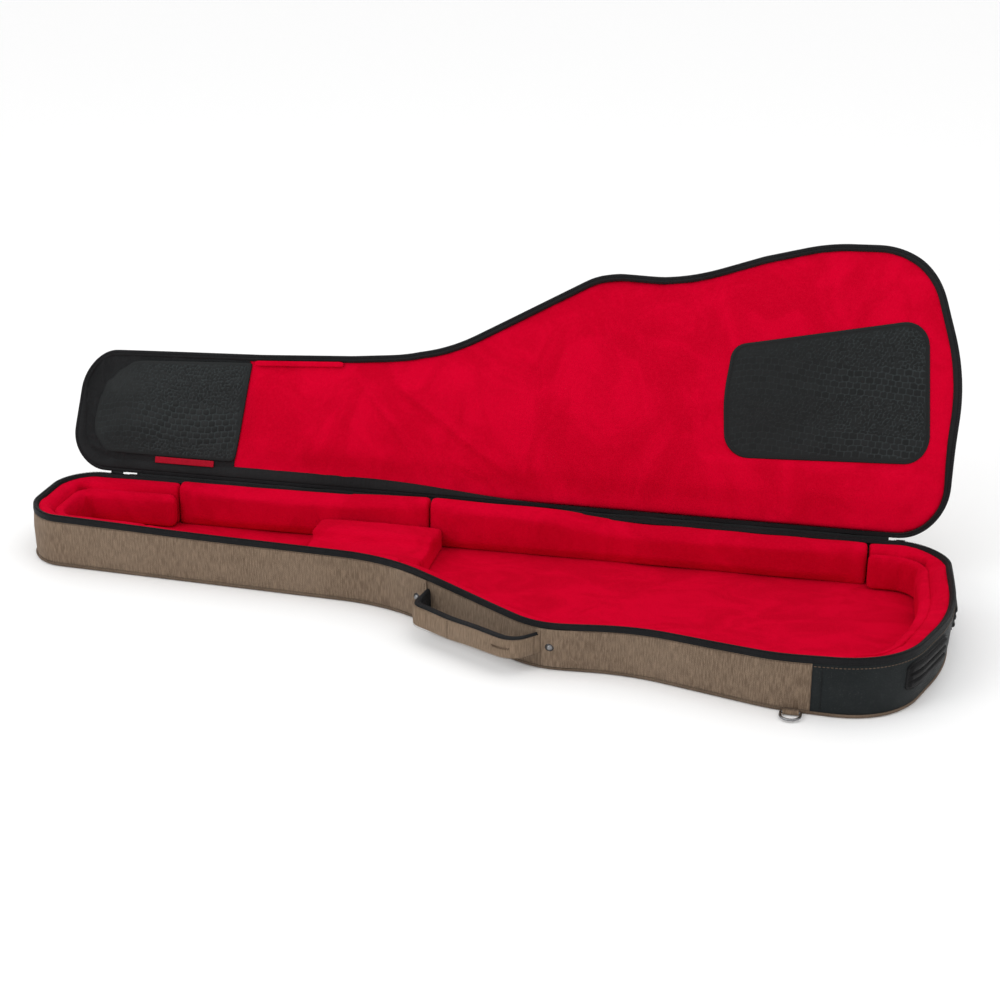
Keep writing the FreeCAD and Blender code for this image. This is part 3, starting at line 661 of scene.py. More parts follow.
def seamAlong(line3, pitch, start=0.0):  # even places and headings along a line of 3-D points
    gone = np.r_[0, np.cumsum(np.linalg.norm(np.diff(line3, axis=0), axis=1))]
    s = np.arange(start + pitch / 2, gone[-1], pitch)
    at = np.stack([np.interp(s, gone, line3[:, k]) for k in range(3)], 1)
    ahead = np.stack([np.interp(s + pitch / 2, gone, line3[:, k]) for k in range(3)], 1)
    behind = np.stack([np.interp(s - pitch / 2, gone, line3[:, k]) for k in range(3)], 1)
    return at, ahead - behind


# tub: covering
def backPanel():  # a flat sheet with a round edge, and a piping cord sewn round its foot
    look = dict(high=4.0, edge=2.0, step=12, pipe=2.1, pipeUp=3.2)
    grid = cushionGrid(inLine(-0.8), 0.0, look["high"], look["edge"], look["step"])
    panel = surface("backPanel", tubPlace(grid), tanCloth)
    finish(panel, "tub", "tan_weave", "back_panel")
    a = np.linspace(0, 2 * pi, 9)[:-1]
    round_ = np.stack([0.5 + look["pipe"] * np.cos(a), look["pipeUp"] + look["pipe"] * np.sin(a)], 1)
    pipe = surface("backPiping", tubPlace(carry(rimAll, round_)), tanCord, closeRows=True)
    finish(pipe, "tub", "tan_webbing")


def wallSection(low, high, skin, proud, bulge, step):  # outer face bowed out between its seams, inner face flat
    up = np.linspace(low, high, max(5, int((high - low) / step)))
    full = np.sqrt(np.clip(np.sin(pi * (up - low) / (high - low)), 0, 1))
    return np.vstack([np.stack([proud + bulge * full, up], 1), [[-skin, high], [-skin, low]]])


def wallPiece(name, line, section, material, seed, soft):
    grid = carry(line, section, rimPush)
    outer = len(section) - 2
    up = section[:outer, 1]
    sway = ripple(grid[:, :outer] * np.array([1, 1, 0.55]), 95, seed) + 0.4 * ripple(grid[:, :outer], 34, seed + 1)
    still = np.sin(pi * (up - up[0]) / (up[-1] - up[0]))[None]
    grid[:, :outer, :2] += line[:, None, 2:] * (sway * still * soft)[..., None]
    return surface(name, tubPlace(grid), material)


def tubWalls():
    look = dict(low=3.0, high=68.0, skin=3.0, bulge=1.6, soft=0.7, joint=491.0, endProud=0.9)
    section = wallSection(look["low"], look["high"], look["skin"], 0.0, look["bulge"], 4)
    side = wallPiece("sideWall", span("far", look["joint"], "near", look["joint"]), section, tanCloth, 3,
                     look["soft"])
    finish(side, "tub", "tan_weave", "side_wall")
    section = wallSection(look["low"], look["high"], look["skin"], look["endProud"], look["bulge"] * 0.8, 4)
    end = wallPiece("endPanel", span("near", look["joint"], "far", look["joint"]), section, coated, 8,
                    look["soft"] * 0.6)
    finish(end, "tub", "coated_cloth", "end_panel")
    folds = []
    for offset in (0.5, 12.5):  # the turned-in edge of the end panel and its second seam, on both sides
        for side in ("near", "far"):
            x = look["joint"] + offset
            at = rimAt(np.array([goneTo(side, x)]))
            up = np.linspace(look["low"] + 2, look["high"] - 1, 22)
            full = np.sqrt(np.clip(np.sin(pi * (up - look["low"]) / (look["high"] - look["low"])), 0, 1))
            out = look["endProud"] + look["bulge"] * 0.8 * full + 0.5
            push = rimPush(at[:, 0], at[:, 1]) * up / bag["rim"]
            folds.append(np.column_stack([at[0, 0] + at[0, 2] * (out + push),
                                          at[0, 1] + at[0, 3] * (out + push), up]))
    at, along = (np.vstack(k) for k in zip(*(seamAlong(f, 3.4) for f in folds)))
    out = np.repeat([[0, -1, 0], [0, 1, 0], [0, -1, 0], [0, 1, 0]], [len(seamAlong(f, 3.4)[0]) for f in folds], 0)
    finish(beads("endPanelStitch", at, along, out.astype(float), 2.8, 0.9, 0.9, thread, tubPlace), "tub",
           "coated_cloth")
    line = span("near", look["joint"] + 1, "far", look["joint"] + 1)
    section = np.array([[look["endProud"] + 1.0, look["high"] - 4.5]])
    run = carry(line, section, rimPush)[:, 0]
    at, along = seamAlong(run, 5.2)
    out = np.column_stack([along[:, 1], -along[:, 0], 0 * along[:, 0]])
    finish(beads("endPanelTopStitch", at, along, out, 3.6, 1.1, 1.1, tanThread, tubPlace), "tub", "tan_webbing")
    line = span("far", look["joint"] - 2, "near", look["joint"] - 2)
    run = carry(line, np.array([[0.9, look["high"] - 3.0]]), rimPush)[:, 0]
    at, along = seamAlong(run, 3.6)
    out = np.column_stack([along[:, 1], -along[:, 0], 0 * along[:, 0]])
    finish(beads("sideWallStitch", at, along, out, 2.6, 0.7, 0.7, tanThread, tubPlace), "tub", "tan_webbing")


def tubRim():  # a folded tape over the wall's top, with a zip coil of small teeth along it where the zip runs
    look = dict(pitch=2.3, trackStart=-547.0, trackEnd=573.0)
    folded = roundedLine([(-0.6, 66.3, 0.5), (1.5, 66.6, 0.7), (1.5, 75.2, 1.3), (-4.4, 75.2, 2.0), (-7.6, 70.4, 1.0),
                          (-3.4, 69.0, 1.0)], 0.9)
    rim = surface("tubBinding", tubPlace(carry(rimAll, folded, rimPush)), tapeCloth, closeRows=True)
    finish(rim, "tub", "zip_tape", "tub_zip_tape")
    track = span("far", look["trackStart"], "far", look["trackEnd"], 3)
    run = carry(track, np.array([[-0.7, 75.6]]), rimPush)[:, 0]
    at, along = seamAlong(run, look["pitch"])
    across = np.column_stack([along[:, 1], -along[:, 0], 0 * along[:, 0]])
    upright = np.zeros_like(at) + [0, 0, 1.0]
    finish(beads("tubZipCoil", at, across, upright, 3.4, 1.5, 1.6, coilNylon, tubPlace), "tub", "zip_coil",
           "tub_zip_coil")
    run = carry(track, np.array([[1.55, 69.4]]), rimPush)[:, 0]
    at, along = seamAlong(run, 3.4)
    across = np.column_stack([along[:, 1], -along[:, 0], 0 * along[:, 0]])
    finish(beads("tubTapeStitch", at, along, across, 2.4, 0.6, 0.6, thread, tubPlace), "tub", "zip_tape")


backPanel()
tubWalls()
tubRim()
print("tub covering made")


# tub: foam and lining
# a section repeated along a line, drawn in towards its middle near open ends
def endRounded(section, count, ends, deep):
    closeIn = np.array([0.0, 0.6, 1.6, 3.2, 5.5])
    q = np.full(count, deep)
    q[:5], q[-5:] = closeIn, closeIn[::-1]
    full = np.sqrt(1 - (1 - np.clip(q / deep, 0, 1)) ** 2) * ends + (1 - ends)
    middle = section.mean(-2, keepdims=True)
    return middle + (section - middle) * full[:, None, None]


def wallPads():  # thick rolls along the inside of the walls, butted at sewn seams
    look = dict(wide=24.0, low=13.0, high=73.5, step=2.6, pressure=3.0, cap=4.0, voxel=5.0, gap=3.4)
    corners = [(-look["gap"], look["low"], 3), (-look["gap"], look["high"], 6),
               (-look["gap"] - look["wide"], look["high"] - 1.5, 11),
               (-look["gap"] - look["wide"] + 2, look["low"], 5)]
    section = roundedLine(corners, look["step"])
    runs = [("headWallPad", span("far", -476, "near", -476), "head_wall_pad"),
            ("neckWallPadNear", span("near", -476, "near", -92), "neck_wall_pad_near"),
            ("bodyWallPadNear", span("near", -92, "near", 538), "body_wall_pad_near"),
            ("endWallPad", span("near", 538, "far", 538), "end_wall_pad"),
            ("bodyWallPadFar", span("far", 538, "far", -92), "body_wall_pad_far"),
            ("neckWallPadFar", span("far", -92, "far", -476), "neck_wall_pad_far")]
    for name, line, node in runs:
        bodied = np.repeat(section[None], len(line), 0)
        at = line[:, 0]
        raised = (3.5 + 3.5 * rise(at, -400, -230) + 5 * rise(at, -220, -120)
                  - 12 * rise(at, 70, 210)) * ("_far" in node)
        bodied[..., 1] += raised[:, None] * rise(bodied[..., 1], 25, 73)
        grid = carry(line, endRounded(bodied, len(line), 0.12, 5.0), rimPush)
        piece = surface(name, tubPlace(grid), redPlush)
        wallSide = lambda p: rise(clearOf(p[:, :2] - [0, farEdge], rimLine), 6, 16) * rise(p[:, 2], 14, 26)
        puff(piece, look["voxel"], look["pressure"], look["cap"], wallSide)
        tuck = lambda p: p + (ripple(p, 70, 21) * rise(p[:, 2], 30, 60) * 0.5)[:, None] * [0, 0, 1]
        reshape(piece, tuck)
        finish(piece, "tub", "red_plush", node)
        if "_far" in node:  # the lid presses these down as it shuts; here they only get a mesh of their own
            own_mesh(piece)


def floorPad():
    look = dict(low=4.2, high=14.0, edge=4.0, step=10, crown=1.5)
    line = inLine(3.4)
    sag = lambda x, y, inset: look["high"] + look["crown"] * (rise(inset, 15, 70) - 0.5) \
        + 0.8 * ripple(np.stack([x, y, 0 * x], -1), 130, 31)
    grid = cushionGrid(line, look["low"], sag, look["edge"], look["step"])
    piece = surface("floorPad", tubPlace(grid), redPlush)
    finish(piece, "tub", "red_plush", "floor_pad")


def secondPads():  # a second roll round the headstock and a bolster behind the body's end
    look = dict(gap=27.6, step=2.6, voxel=4.5, pressure=3.5, cap=4.0)
    for name, line, node, wide, high in (
            ("headstockSurround", span("far", -476, "near", -476), "headstock_surround", 20.0, 63.5),
            ("endBolster", span("near", 538, "far", 538), "end_bolster", 14.5, 66.5)):
        low = 14.4
        corners = [(-look["gap"], low, 3), (-look["gap"], high, 6), (-look["gap"] - wide, high - 1, 8),
                   (-look["gap"] - wide + 1, low, 4)]
        section = np.repeat(roundedLine(corners, look["step"])[None], len(line), 0)
        grid = carry(line, endRounded(section, len(line), 0.45, 7.0))
        piece = surface(name, tubPlace(grid), redPlush)
        free = lambda p: rise(clearOf(p[:, :2] - [0, farEdge], rimLine), 29, 37) * rise(p[:, 2], 16, 26)
        puff(piece, look["voxel"], look["pressure"], look["cap"], free)
        finish(piece, "tub", "red_plush", node)


def neckCradle():  # a firm block with a groove for the neck and a thick padded cover
    look = dict(start=-253.0, end=-69.0, low=14.3, high=49.0, groove=-118.0, half=31.0, deep=12.0, voxel=4.5,
                pressure=4.0, cap=4.5)
    inner = inLine(28.2)
    (lowX, lowY), (highX, highY) = edges(inner)
    xs = np.r_[look["start"] + np.array([0, 0.8, 2.2, 4.5]), np.linspace(look["start"] + 8, look["end"] - 8, 30),
               look["end"] - np.array([4.5, 2.2, 0.8, 0])]
    near, far = np.interp(xs, lowX, lowY) + 0.8, np.interp(xs, highX, highY) - 0.8
    grid = []
    for a, b in zip(near, far):
        g0, g1, h, d = look["groove"] - look["half"], look["groove"] + look["half"], look["high"], look["deep"]
        corners = [(a, look["low"], 3), (b, look["low"], 3), (b, h, 7), (g1, h, 7), (g1 - 6, h - d, 7),
                   (g0 + 6, h - d, 7), (g0, h, 7), (a, h, 7)]
        line = roundedLine(corners, 3.0)
        s = np.linspace(0, 1, 121)[:-1]
        grid.append(np.stack([np.interp(s, np.linspace(0, 1, len(line) + 1), np.r_[line[:, k], line[0, k]])
                              for k in (0, 1)], 1))
    section = np.array(grid)
    q = np.minimum(xs - xs[0], xs[-1] - xs)
    full = (0.9 + 0.1 * np.sqrt(1 - (1 - np.clip(q / 8, 0, 1)) ** 2))[:, None, None]
    middle = section.mean(1, keepdims=True)
    section = middle + (section - middle) * full
    grid = np.dstack([np.repeat(xs[:, None], section.shape[1], 1), section])
    piece = surface("neckCradle", tubPlace(grid), redPlush)
    puff(piece, look["voxel"], look["pressure"], look["cap"], lambda p: rise(p[:, 2], 16, 28))
    finish(piece, "tub", "red_plush", "neck_cradle")


wallPads()
floorPad()
secondPads()
neckCradle()
print("tub lining made")


# tub: bumpers, tabs, rivets
def bumpers():  # a moulded plate with three long ribs, thinning to nothing at its rounded ends
    look = dict(low=22.5, tall=38.0, plate=3.6, rib=7.6, ribTall=5.6, pitch=10.2)
    middle = look["low"] + look["tall"] / 2
    up = np.linspace(look["low"], look["low"] + look["tall"], 69)
    ribs = sum(np.sqrt(np.clip(1 - (np.abs(up - middle - k * look["pitch"]) / (look["ribTall"] / 2 + 0.6)) ** 4,
                               0, 1))
               for k in (-1, 0, 1))
    frameEdge = rise(np.minimum(up - up[0], up[-1] - up), 0, 2.2)
    lip = hump(np.minimum(up - up[0], up[-1] - up), 2.0, 1.3)
    for name, y0, y1, node in (("bumperNear", -372, -262, "bumper_near"), ("bumperFar", -186, -96, "bumper_far")):
        line = endSpan(y0, y1, 1.5)
        q = np.linalg.norm(np.diff(line[:, :2], axis=0), axis=1).cumsum()
        q = np.r_[0, q]
        q = np.minimum(q, q[-1] - q)[:, None]
        round_ = np.sqrt(np.clip(1 - (1 - np.clip(q / 16, 0, 1)) ** 2, 0, 1))
        zz = middle + (up - middle)[None] * (0.45 + 0.55 * round_)
        out = (look["plate"] * frameEdge + lip) * rise(q, 0, 2.0) \
            + (look["rib"] - look["plate"]) * ribs * rise(q, 5, 8.5)
        front = np.stack([out, zz], -1)
        backing = np.stack([np.full(out.shape, -0.8), zz], -1)[:, ::-1]
        piece = surface(name, tubPlace(carry(line, np.concatenate([front, backing], 1))), rubber)
        finish(piece, "tub", "bumper_rubber", node)


def ringTabs():  # webbing from under the wall's foot, folded round the D-ring's bar and sewn to itself
    look = dict(thick=1.15, loop=2.9, high=4.0, wide=10.3)
    for name, node, ring, side in (("ringTabNear", "ring_tab_near", "d_ring_near", -1),
                                   ("ringTabFar", "ring_tab_far", "d_ring_far", 1)):
        lo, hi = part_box(ring)
        barY = (hi.y if side < 0 else lo.y) / mm - side * -1.75
        a = np.linspace(pi / 2, -pi / 2, 11)
        outer = np.stack([np.cos(a) * look["loop"], look["high"] + np.sin(a) * look["loop"]], 1)
        inner = np.stack([np.cos(a[::-1]) * (look["loop"] - look["thick"]),
                          look["high"] + np.sin(a[::-1]) * (look["loop"] - look["thick"])], 1)
        top = [[-9, look["high"] + 1.35], [-4, look["high"] + 1.7]]
        low = [[-4, look["high"] - 1.7], [-9, look["high"] - 1.35]]
        rest = [[-9, look["high"] - 0.3], [-4, look["high"] - 0.45]]
        rest2 = [[-4, look["high"] + 0.45], [-9, look["high"] + 0.3]]
        section = np.vstack([top, outer, low, rest, inner, rest2])
        xs = np.array([-1, -0.97, -0.6, -0.2, 0.2, 0.6, 0.97, 1]) * look["wide"] + (lo.x + hi.x) / 2 / mm
        grid = np.zeros((len(xs), len(section), 3))
        grid[..., 0] = xs[:, None]
        grid[..., 1] = barY + side * section[None, :, 0]
        grid[..., 2] = section[None, :, 1]
        finish(surface(name, grid, tanStrap), "tub", "tan_webbing", node)


def handleRivets():  # a washer in dark metal and a low dome in brighter metal, the dome's extra brightness a painted highlight, turned about its own axis
    look = dict(spots=[(-52.0, -246.3, 36.0, 238.8), (151.0, -356.3, 38.0, 271.5)])
    outline = np.array([(0, -1.5), (6.0, -1.5), (6.3, 0.2), (6.1, 1.0), (5.2, 1.5), (4.5, 1.3), (4.2, 1.9),
                        (3.7, 2.9),
                        (2.6, 3.6), (1.3, 3.95), (0, 4.05)])
    a = np.linspace(0, 2 * pi, 25)[:-1]
    pieces = []
    for x, y, z, heading in look["spots"]:
        outwards = np.array([math.cos(math.radians(heading)), math.sin(math.radians(heading)), 0])
        side = np.array([-outwards[1], outwards[0], 0])
        r, h = outline.T
        grid = np.array([x, y, z]) + outwards * (h + 2.6)[None, :, None] \
            + r[None, :, None] * (np.cos(a)[:, None, None] * side + np.sin(a)[:, None, None] * np.array([0, 0, 1.0]))
        pieces.append(tubPlace(grid))
    points, faces, bright = [], [], []
    for k, grid in enumerate(pieces):
        rows, columns = grid.shape[:2]
        ring = grid[:, 1:-1]
        quads, _ = gridQuads(rows, columns - 2, True, False)
        start = k * (rows * (columns - 2) + 2)
        points += [ring.reshape(-1, 3), grid[:1, 0], grid[:1, -1]]
        back, top = start + rows * (columns - 2), start + rows * (columns - 2) + 1
        i = np.arange(rows)
        # painted highlight: the dome's faces get the brighter nickel, the washer keeps the dark gunmetal
        bright += [np.tile(np.arange(columns - 3) > 4, rows), np.zeros(rows), np.ones(rows)]
        faces += (quads + start).tolist()
        faces += np.stack([np.full(rows, back), (i + 1) % rows * (columns - 2) + start,
                           i * (columns - 2) + start], 1).tolist()
        faces += np.stack([np.full(rows, top), i * (columns - 2) + columns - 3 + start,
                           (i + 1) % rows * (columns - 2) + columns - 3 + start], 1).tolist()
    piece = makePiece("handleRivets", np.vstack(points), faces, [gunmetal, nickel],
                      faceMaterial=np.concatenate(bright))
    finish(piece, "tub", "dark_nickel", "handle_rivets")


# carry handle
def handleParts():  # three layers along one path in plan, flattened and sewn down at both roots
    look = dict(path=[(-34, -247, 0), (-42, -303, 15), (107, -385, 24), (141, -349, 0)], low=17.0, high=54.0,
                swingRoom=24.0, drop=0.84, lift=2.2, slope=4.5)
    path = roundedLine(look["path"], 3.0, closed=False)
    side = outward(path, closed=False)
    line = np.hstack([path, side])
    gone = np.r_[0, np.linalg.norm(np.diff(path, axis=0), axis=1).cumsum()]
    q = np.minimum(gone, gone[-1] - gone)
    plump = rise(q, 18, 70)
    middleUp = (look["low"] + look["high"]) / 2

    def follow(piece, slot, *nodes):
        if nodes:
            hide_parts(*nodes)
        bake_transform(piece)
        return piece

    def layer(name, corners, material, slot, node):
        section = np.repeat(roundedLine(corners, 1.6)[None], len(line), 0)
        wave = 0.5 * ripple(np.column_stack([path, 0 * gone]), 60, 44)
        section[..., 0] *= (0.55 + 0.45 * plump)[:, None]
        risen = wave + look["lift"] + look["slope"] * rise(path[:, 0], 0, 105)
        section[..., 1] = middleUp + (section[..., 1] - middleUp) * look["drop"] + risen[:, None]
        return follow(surface(name, tubPlace(carry(line, section)), material), slot, node)

    core = layer("handleCore", [(-5.2, 18.0, 3.5), (-5.2, 55.4, 3.5), (5.2, 55.4, 3.5), (5.2, 18.0, 3.5)],
                 gussetCloth,
                 "black_gusset", "handle_core")
    lining = layer("handleLining", [(-4.0, 20.0, 2), (-4.0, 52.0, 2), (-7.6, 50.5, 3), (-7.6, 21.5, 3)], gussetCloth,
                   "black_gusset", "handle_lining")
    cover = layer("handleCover", [(3.6, 16.8, 1.2), (3.6, 52.6, 1.2), (7.4, 51.0, 2.4), (8.2, 35, 30),
                                  (7.4, 18.5, 2.4)],
                  tanStrap, "tan_webbing", "handle_cover")
    thickAt = lambda g: np.interp(g, gone, 0.55 + 0.45 * plump)
    climb = lambda g: look["slope"] * rise(np.interp(g, gone, line[:, 0]), 0, 105)
    pointAt = lambda g, out, up: np.column_stack([np.interp(g, gone, line[:, 0])
                                                  + np.interp(g, gone, line[:, 2]) * out,
                                                  np.interp(g, gone, line[:, 1])
                                                  + np.interp(g, gone, line[:, 3]) * out,
                                                  up + climb(g)])
    rows, upright, outs = [], [], []
    for share in (0.07, 0.44, 0.93):
        up = np.arange(24.0, 51.0, 3.2)
        g = np.full(len(up), share * gone[-1])
        rows.append(pointAt(g, 8.1 * thickAt(g), up))
        upright.append(np.zeros((len(up), 3)) + [0, 0, 1.0])
        outs.append(np.column_stack([np.interp(g, gone, line[:, 2]), np.interp(g, gone, line[:, 3]), 0 * g]))
    tack = np.arange(gone[-1] - 72, gone[-1] - 50, 0.9)
    rows.append(pointAt(tack, 8.3 * thickAt(tack), 38 + 0.9 * np.cos(np.arange(len(tack)) * pi)))
    upright.append(np.zeros((len(tack), 3)) + [0, 0, 1.0])
    outs.append(np.column_stack([np.interp(tack, gone, line[:, 2]), np.interp(tack, gone, line[:, 3]), 0 * tack]))
    sewn = beads("handleStitch", np.vstack(rows), np.vstack(upright), np.vstack(outs), 2.3, 1.0, 0.9,
                 brownThread, tubPlace)
    follow(sewn, "tan_webbing")
    low, high = look["low"] + 3.5, look["high"] - 1
    edgeRow = np.arange(gone[0] + 12, gone[-1] - 12, 3.6)
    rows = [pointAt(edgeRow, 7.3 * thickAt(edgeRow), np.full(len(edgeRow), up)) for up in (low + 1.8, high - 1.4)]
    at, along = (np.vstack(k) for k in zip(*(seamAlong(r, 3.6) for r in rows)))
    out = np.column_stack([along[:, 1], -along[:, 0], 0 * along[:, 0]])
    follow(beads("handleEdgeStitch", at, along, out, 2.5, 0.7, 0.7, tanThread, tubPlace), "tan_webbing")


def handleRoots():  # the strap's ends, sewn down beside the handle, thinning to nothing under the wall's cloth
    look = dict(low=6.0, high=66.6, thick=2.4)
    section = roundedLine([(0.4, look["low"], 0.4), (0.4, look["high"], 0.4),
                           (0.8 + look["thick"], look["high"], 0.9),
                           (0.8 + look["thick"], look["low"], 0.9)], 1.6)
    for name, x0, x1, seamX in (("handleRootHead", -120.0, -36.0, -39.0), ("handleRootBody", 136.0, 215.0, 139.5)):
        line = span("near", x0, "near", x1, 3)
        flat = 1 - rise(np.abs(line[:, 0] - seamX), 25, 72)[:, None]
        shaped = np.repeat(section[None], len(line), 0)
        shaped[..., 0] = shaped[..., 0] * flat - 1.0 * (1 - flat)
        finish(surface(name, tubPlace(carry(line, shaped, rimPush)), tanCloth), "tub", "tan_weave")
        up = np.arange(look["low"] + 2, look["high"] - 3, 3.3)
        where = rimAt(np.full(len(up), goneTo("near", seamX)))
        out = look["thick"] + 0.9 + rimPush(where[:, 0], where[:, 1]) * up / bag["rim"]
        at = np.column_stack([where[:, 0] + where[:, 2] * out, where[:, 1] + where[:, 3] * out, up])
        finish(beads(name + "Stitch", at, np.zeros_like(at) + [0, 0, 1.0], np.column_stack([where[:, 2:], 0 * up]),
                     2.4, 0.9, 0.9, brownThread, tubPlace), "tub", "tan_webbing")


bumpers()
ringTabs()
handleRivets()
handleParts()
handleRoots()
print("tub fittings made")


# lid
def lidLine(inset):  # the lid's own edge line, with its soft lean, moved inwards
    return rimLine + rimOut * (lidPush(rimX, rimY) - inset)[:, None]


lidEdge = lidLine(0)
bindingReach = dict(near=8.5, hinge=20.0, hingeBody=4.5, hingeEnds=(-200.0, 90.0))


def bindingWide(x, y):  # how far the lid's binding reaches in over the lining
    drop = bindingReach["hinge"] - bindingReach["hingeBody"]
    hingeSide = bindingReach["hinge"] - drop * rise(x, *bindingReach["hingeEnds"])
    side = nearness(y)
    return bindingReach["near"] * side + hingeSide * (1 - side) + 2.5 * rise(x, 520, 640)


def liningAt(x, y):  # height of the lid's lining: tucked under its binding, crowned over the foam, a little slack
    flat = np.stack([x, y], -1)
    inset = clearOf(flat, lidEdge)
    crown = 2.0 + 4.0 * rise(x, -420, -250)
    sway = 1.4 * ripple(np.stack([x, y, 0 * x], -1), 210, 61) + 0.6 * ripple(np.stack([x, y, 0 * x], -1), 80, 62)
    return 4.2 - crown * rise(inset, 6, 70) + sway * rise(inset, 15, 80)


def lidCover():  # outer panel crowned over the foam, soft gusset round it, and a piping cord between the two
    look = dict(skin=3.0, crown=2.5, edge=1.5, step=12, pipe=2.0)
    deep = bag["lidDeep"]
    dome = lambda x, y, inset: deep + look["crown"] * rise(inset, 5, 60)
    grid = cushionGrid(lidLine(-0.6), deep - look["skin"], dome, look["edge"], look["step"])
    finish(surface("lidFrontPanel", lidPlace(grid), tanCloth), "lid", "tan_weave", "lid_front_panel")
    a = np.linspace(0, 2 * pi, 9)[:-1]
    round_ = np.stack([0.4 + look["pipe"] * np.cos(a), deep - 1.4 + look["pipe"] * np.sin(a)], 1)
    pipe = surface("lidPiping", lidPlace(carry(rimAll, round_, lidPush)), tapeCloth, closeRows=True)
    finish(pipe, "lid", "zip_tape")
    section = wallSection(8.4, deep - 1.6, 3.0, 0.0, 1.2, 2.4)
    grid = carry(rimAll, section, lidPush)
    outer = len(section) - 2
    up = section[:outer, 1]
    still = np.sin(pi * (up - up[0]) / (up[-1] - up[0]))[None]
    sway = 0.6 * ripple(grid[:, :outer], 60, 71) * still
    grid[:, :outer, :2] += rimAll[:, None, 2:] * sway[..., None]
    finish(surface("lidGusset", lidPlace(grid), gussetCloth, closeRows=True), "lid", "black_gusset", "lid_gusset")


def lidRim():  # folded tape round the lid's rim, its zip coil, and a wide inner binding over the lining's edge
    look = dict(pitch=2.3, trackStart=-547.0, trackEnd=573.0)
    folded = roundedLine([(-0.6, 9.6, 0.5), (1.5, 9.3, 0.7), (1.5, 0.9, 1.3), (-4.6, 0.9, 1.6), (-4.6, 4.6, 1.0),
                          (-1.5, 6.0, 1.0)], 0.9)
    rim = surface("lidBinding", lidPlace(carry(rimAll, folded, lidPush)), tapeCloth, closeRows=True)
    finish(rim, "lid", "zip_tape", "lid_zip_tape")
    t = np.linspace(0, 1, 9)
    wide = bindingWide(rimX, rimY)[:, None]
    pucker = ripple(np.column_stack([rimLine, 0 * rimX]), 26, 81)[:, None]
    endZ = liningAt(*(lidEdge - rimOut * wide).T)[:, None]
    out = -3.6 - (wide - 3.6) * t
    up = 1.3 + (endZ - 1.3) * t ** 1.5 - 1.3 * np.sin(pi * t) ** 0.8 - 0.25 * pucker * rise(t, 0.1, 0.8) - 0.4
    face = np.stack([np.broadcast_to(out, up.shape), up], -1)
    back = np.stack([np.broadcast_to(out, up.shape)[:, ::-1], up[:, ::-1] + 1.6], -1)
    inner = surface("lidInnerBinding", lidPlace(carry(rimAll, np.concatenate([face, back], 1), lidPush)), gussetCloth,
                    closeRows=True)
    finish(inner, "lid", "black_gusset")
    track = span("far", look["trackStart"], "far", look["trackEnd"], 3)
    run = carry(track, np.array([[-0.7, 1.0]]), lidPush)[:, 0]
    at, along = seamAlong(run, look["pitch"])
    across = np.column_stack([along[:, 1], -along[:, 0], 0 * along[:, 0]])
    upright = np.zeros_like(at) + [0, 0, 1.0]
    finish(beads("lidZipCoil", at, across, upright, 3.4, 1.5, 1.4, coilNylon, lidPlace), "lid", "zip_coil",
           "lid_zip_coil")
    seam = np.stack([-wide[:, 0] + 1.8, endZ[:, 0] - 0.2], -1)[:, None]
    run = carry(rimAll, seam, lidPush)[:, 0]
    at, along = seamAlong(np.vstack([run, run[:1]]), 3.4)
    upright = np.zeros_like(at) - [0, 0, 1.0]
    finish(beads("lidInnerStitch", at, along, upright, 2.4, 0.6, 0.6, thread, lidPlace), "lid", "black_gusset")


def toLine(points, line):  # distance to an open line, and the share of its length at the nearest point
    line = np.array(line, float)
    best, share = np.full(len(points), 1e9), np.zeros(len(points))
    gone = np.r_[0, np.linalg.norm(np.diff(line, axis=0), axis=1).cumsum()]
    for k in range(len(line) - 1):
        a, b = line[k], line[k + 1]
        t = np.clip((points - a) @ (b - a) / ((b - a) @ (b - a)), 0, 1)
        d = np.linalg.norm(a + t[:, None] * (b - a) - points, axis=1)
        closer = d < best
        best = np.where(closer, d, best)
        share = np.where(closer, (gone[k] + t * (gone[k + 1] - gone[k])) / gone[-1], share)
    return best, share


creases = [  # folds where the slack lining hangs from the free edge towards the hinge: points, height, width
    dict(line=[(-241, -186), (-200, -143), (-157, -96), (-116, -42)], high=4.6, wide=6.0),
    dict(line=[(-187, -191), (-152, -156), (-85, -111), (-30, -74), (26, -38)], high=5.2, wide=7.0),
    dict(line=[(-248, -118), (-222, -94), (-190, -60)], high=2.4, wide=7.0),
    dict(line=[(-62, -56), (-38, -42), (-12, -30)], high=2.0, wide=5.0),
    dict(line=[(140, -230), (120, -160), (128, -90)], high=1.2, wide=14.0),
    dict(line=[(640, -250), (628, -200), (634, -150)], high=1.6, wide=6.0)]


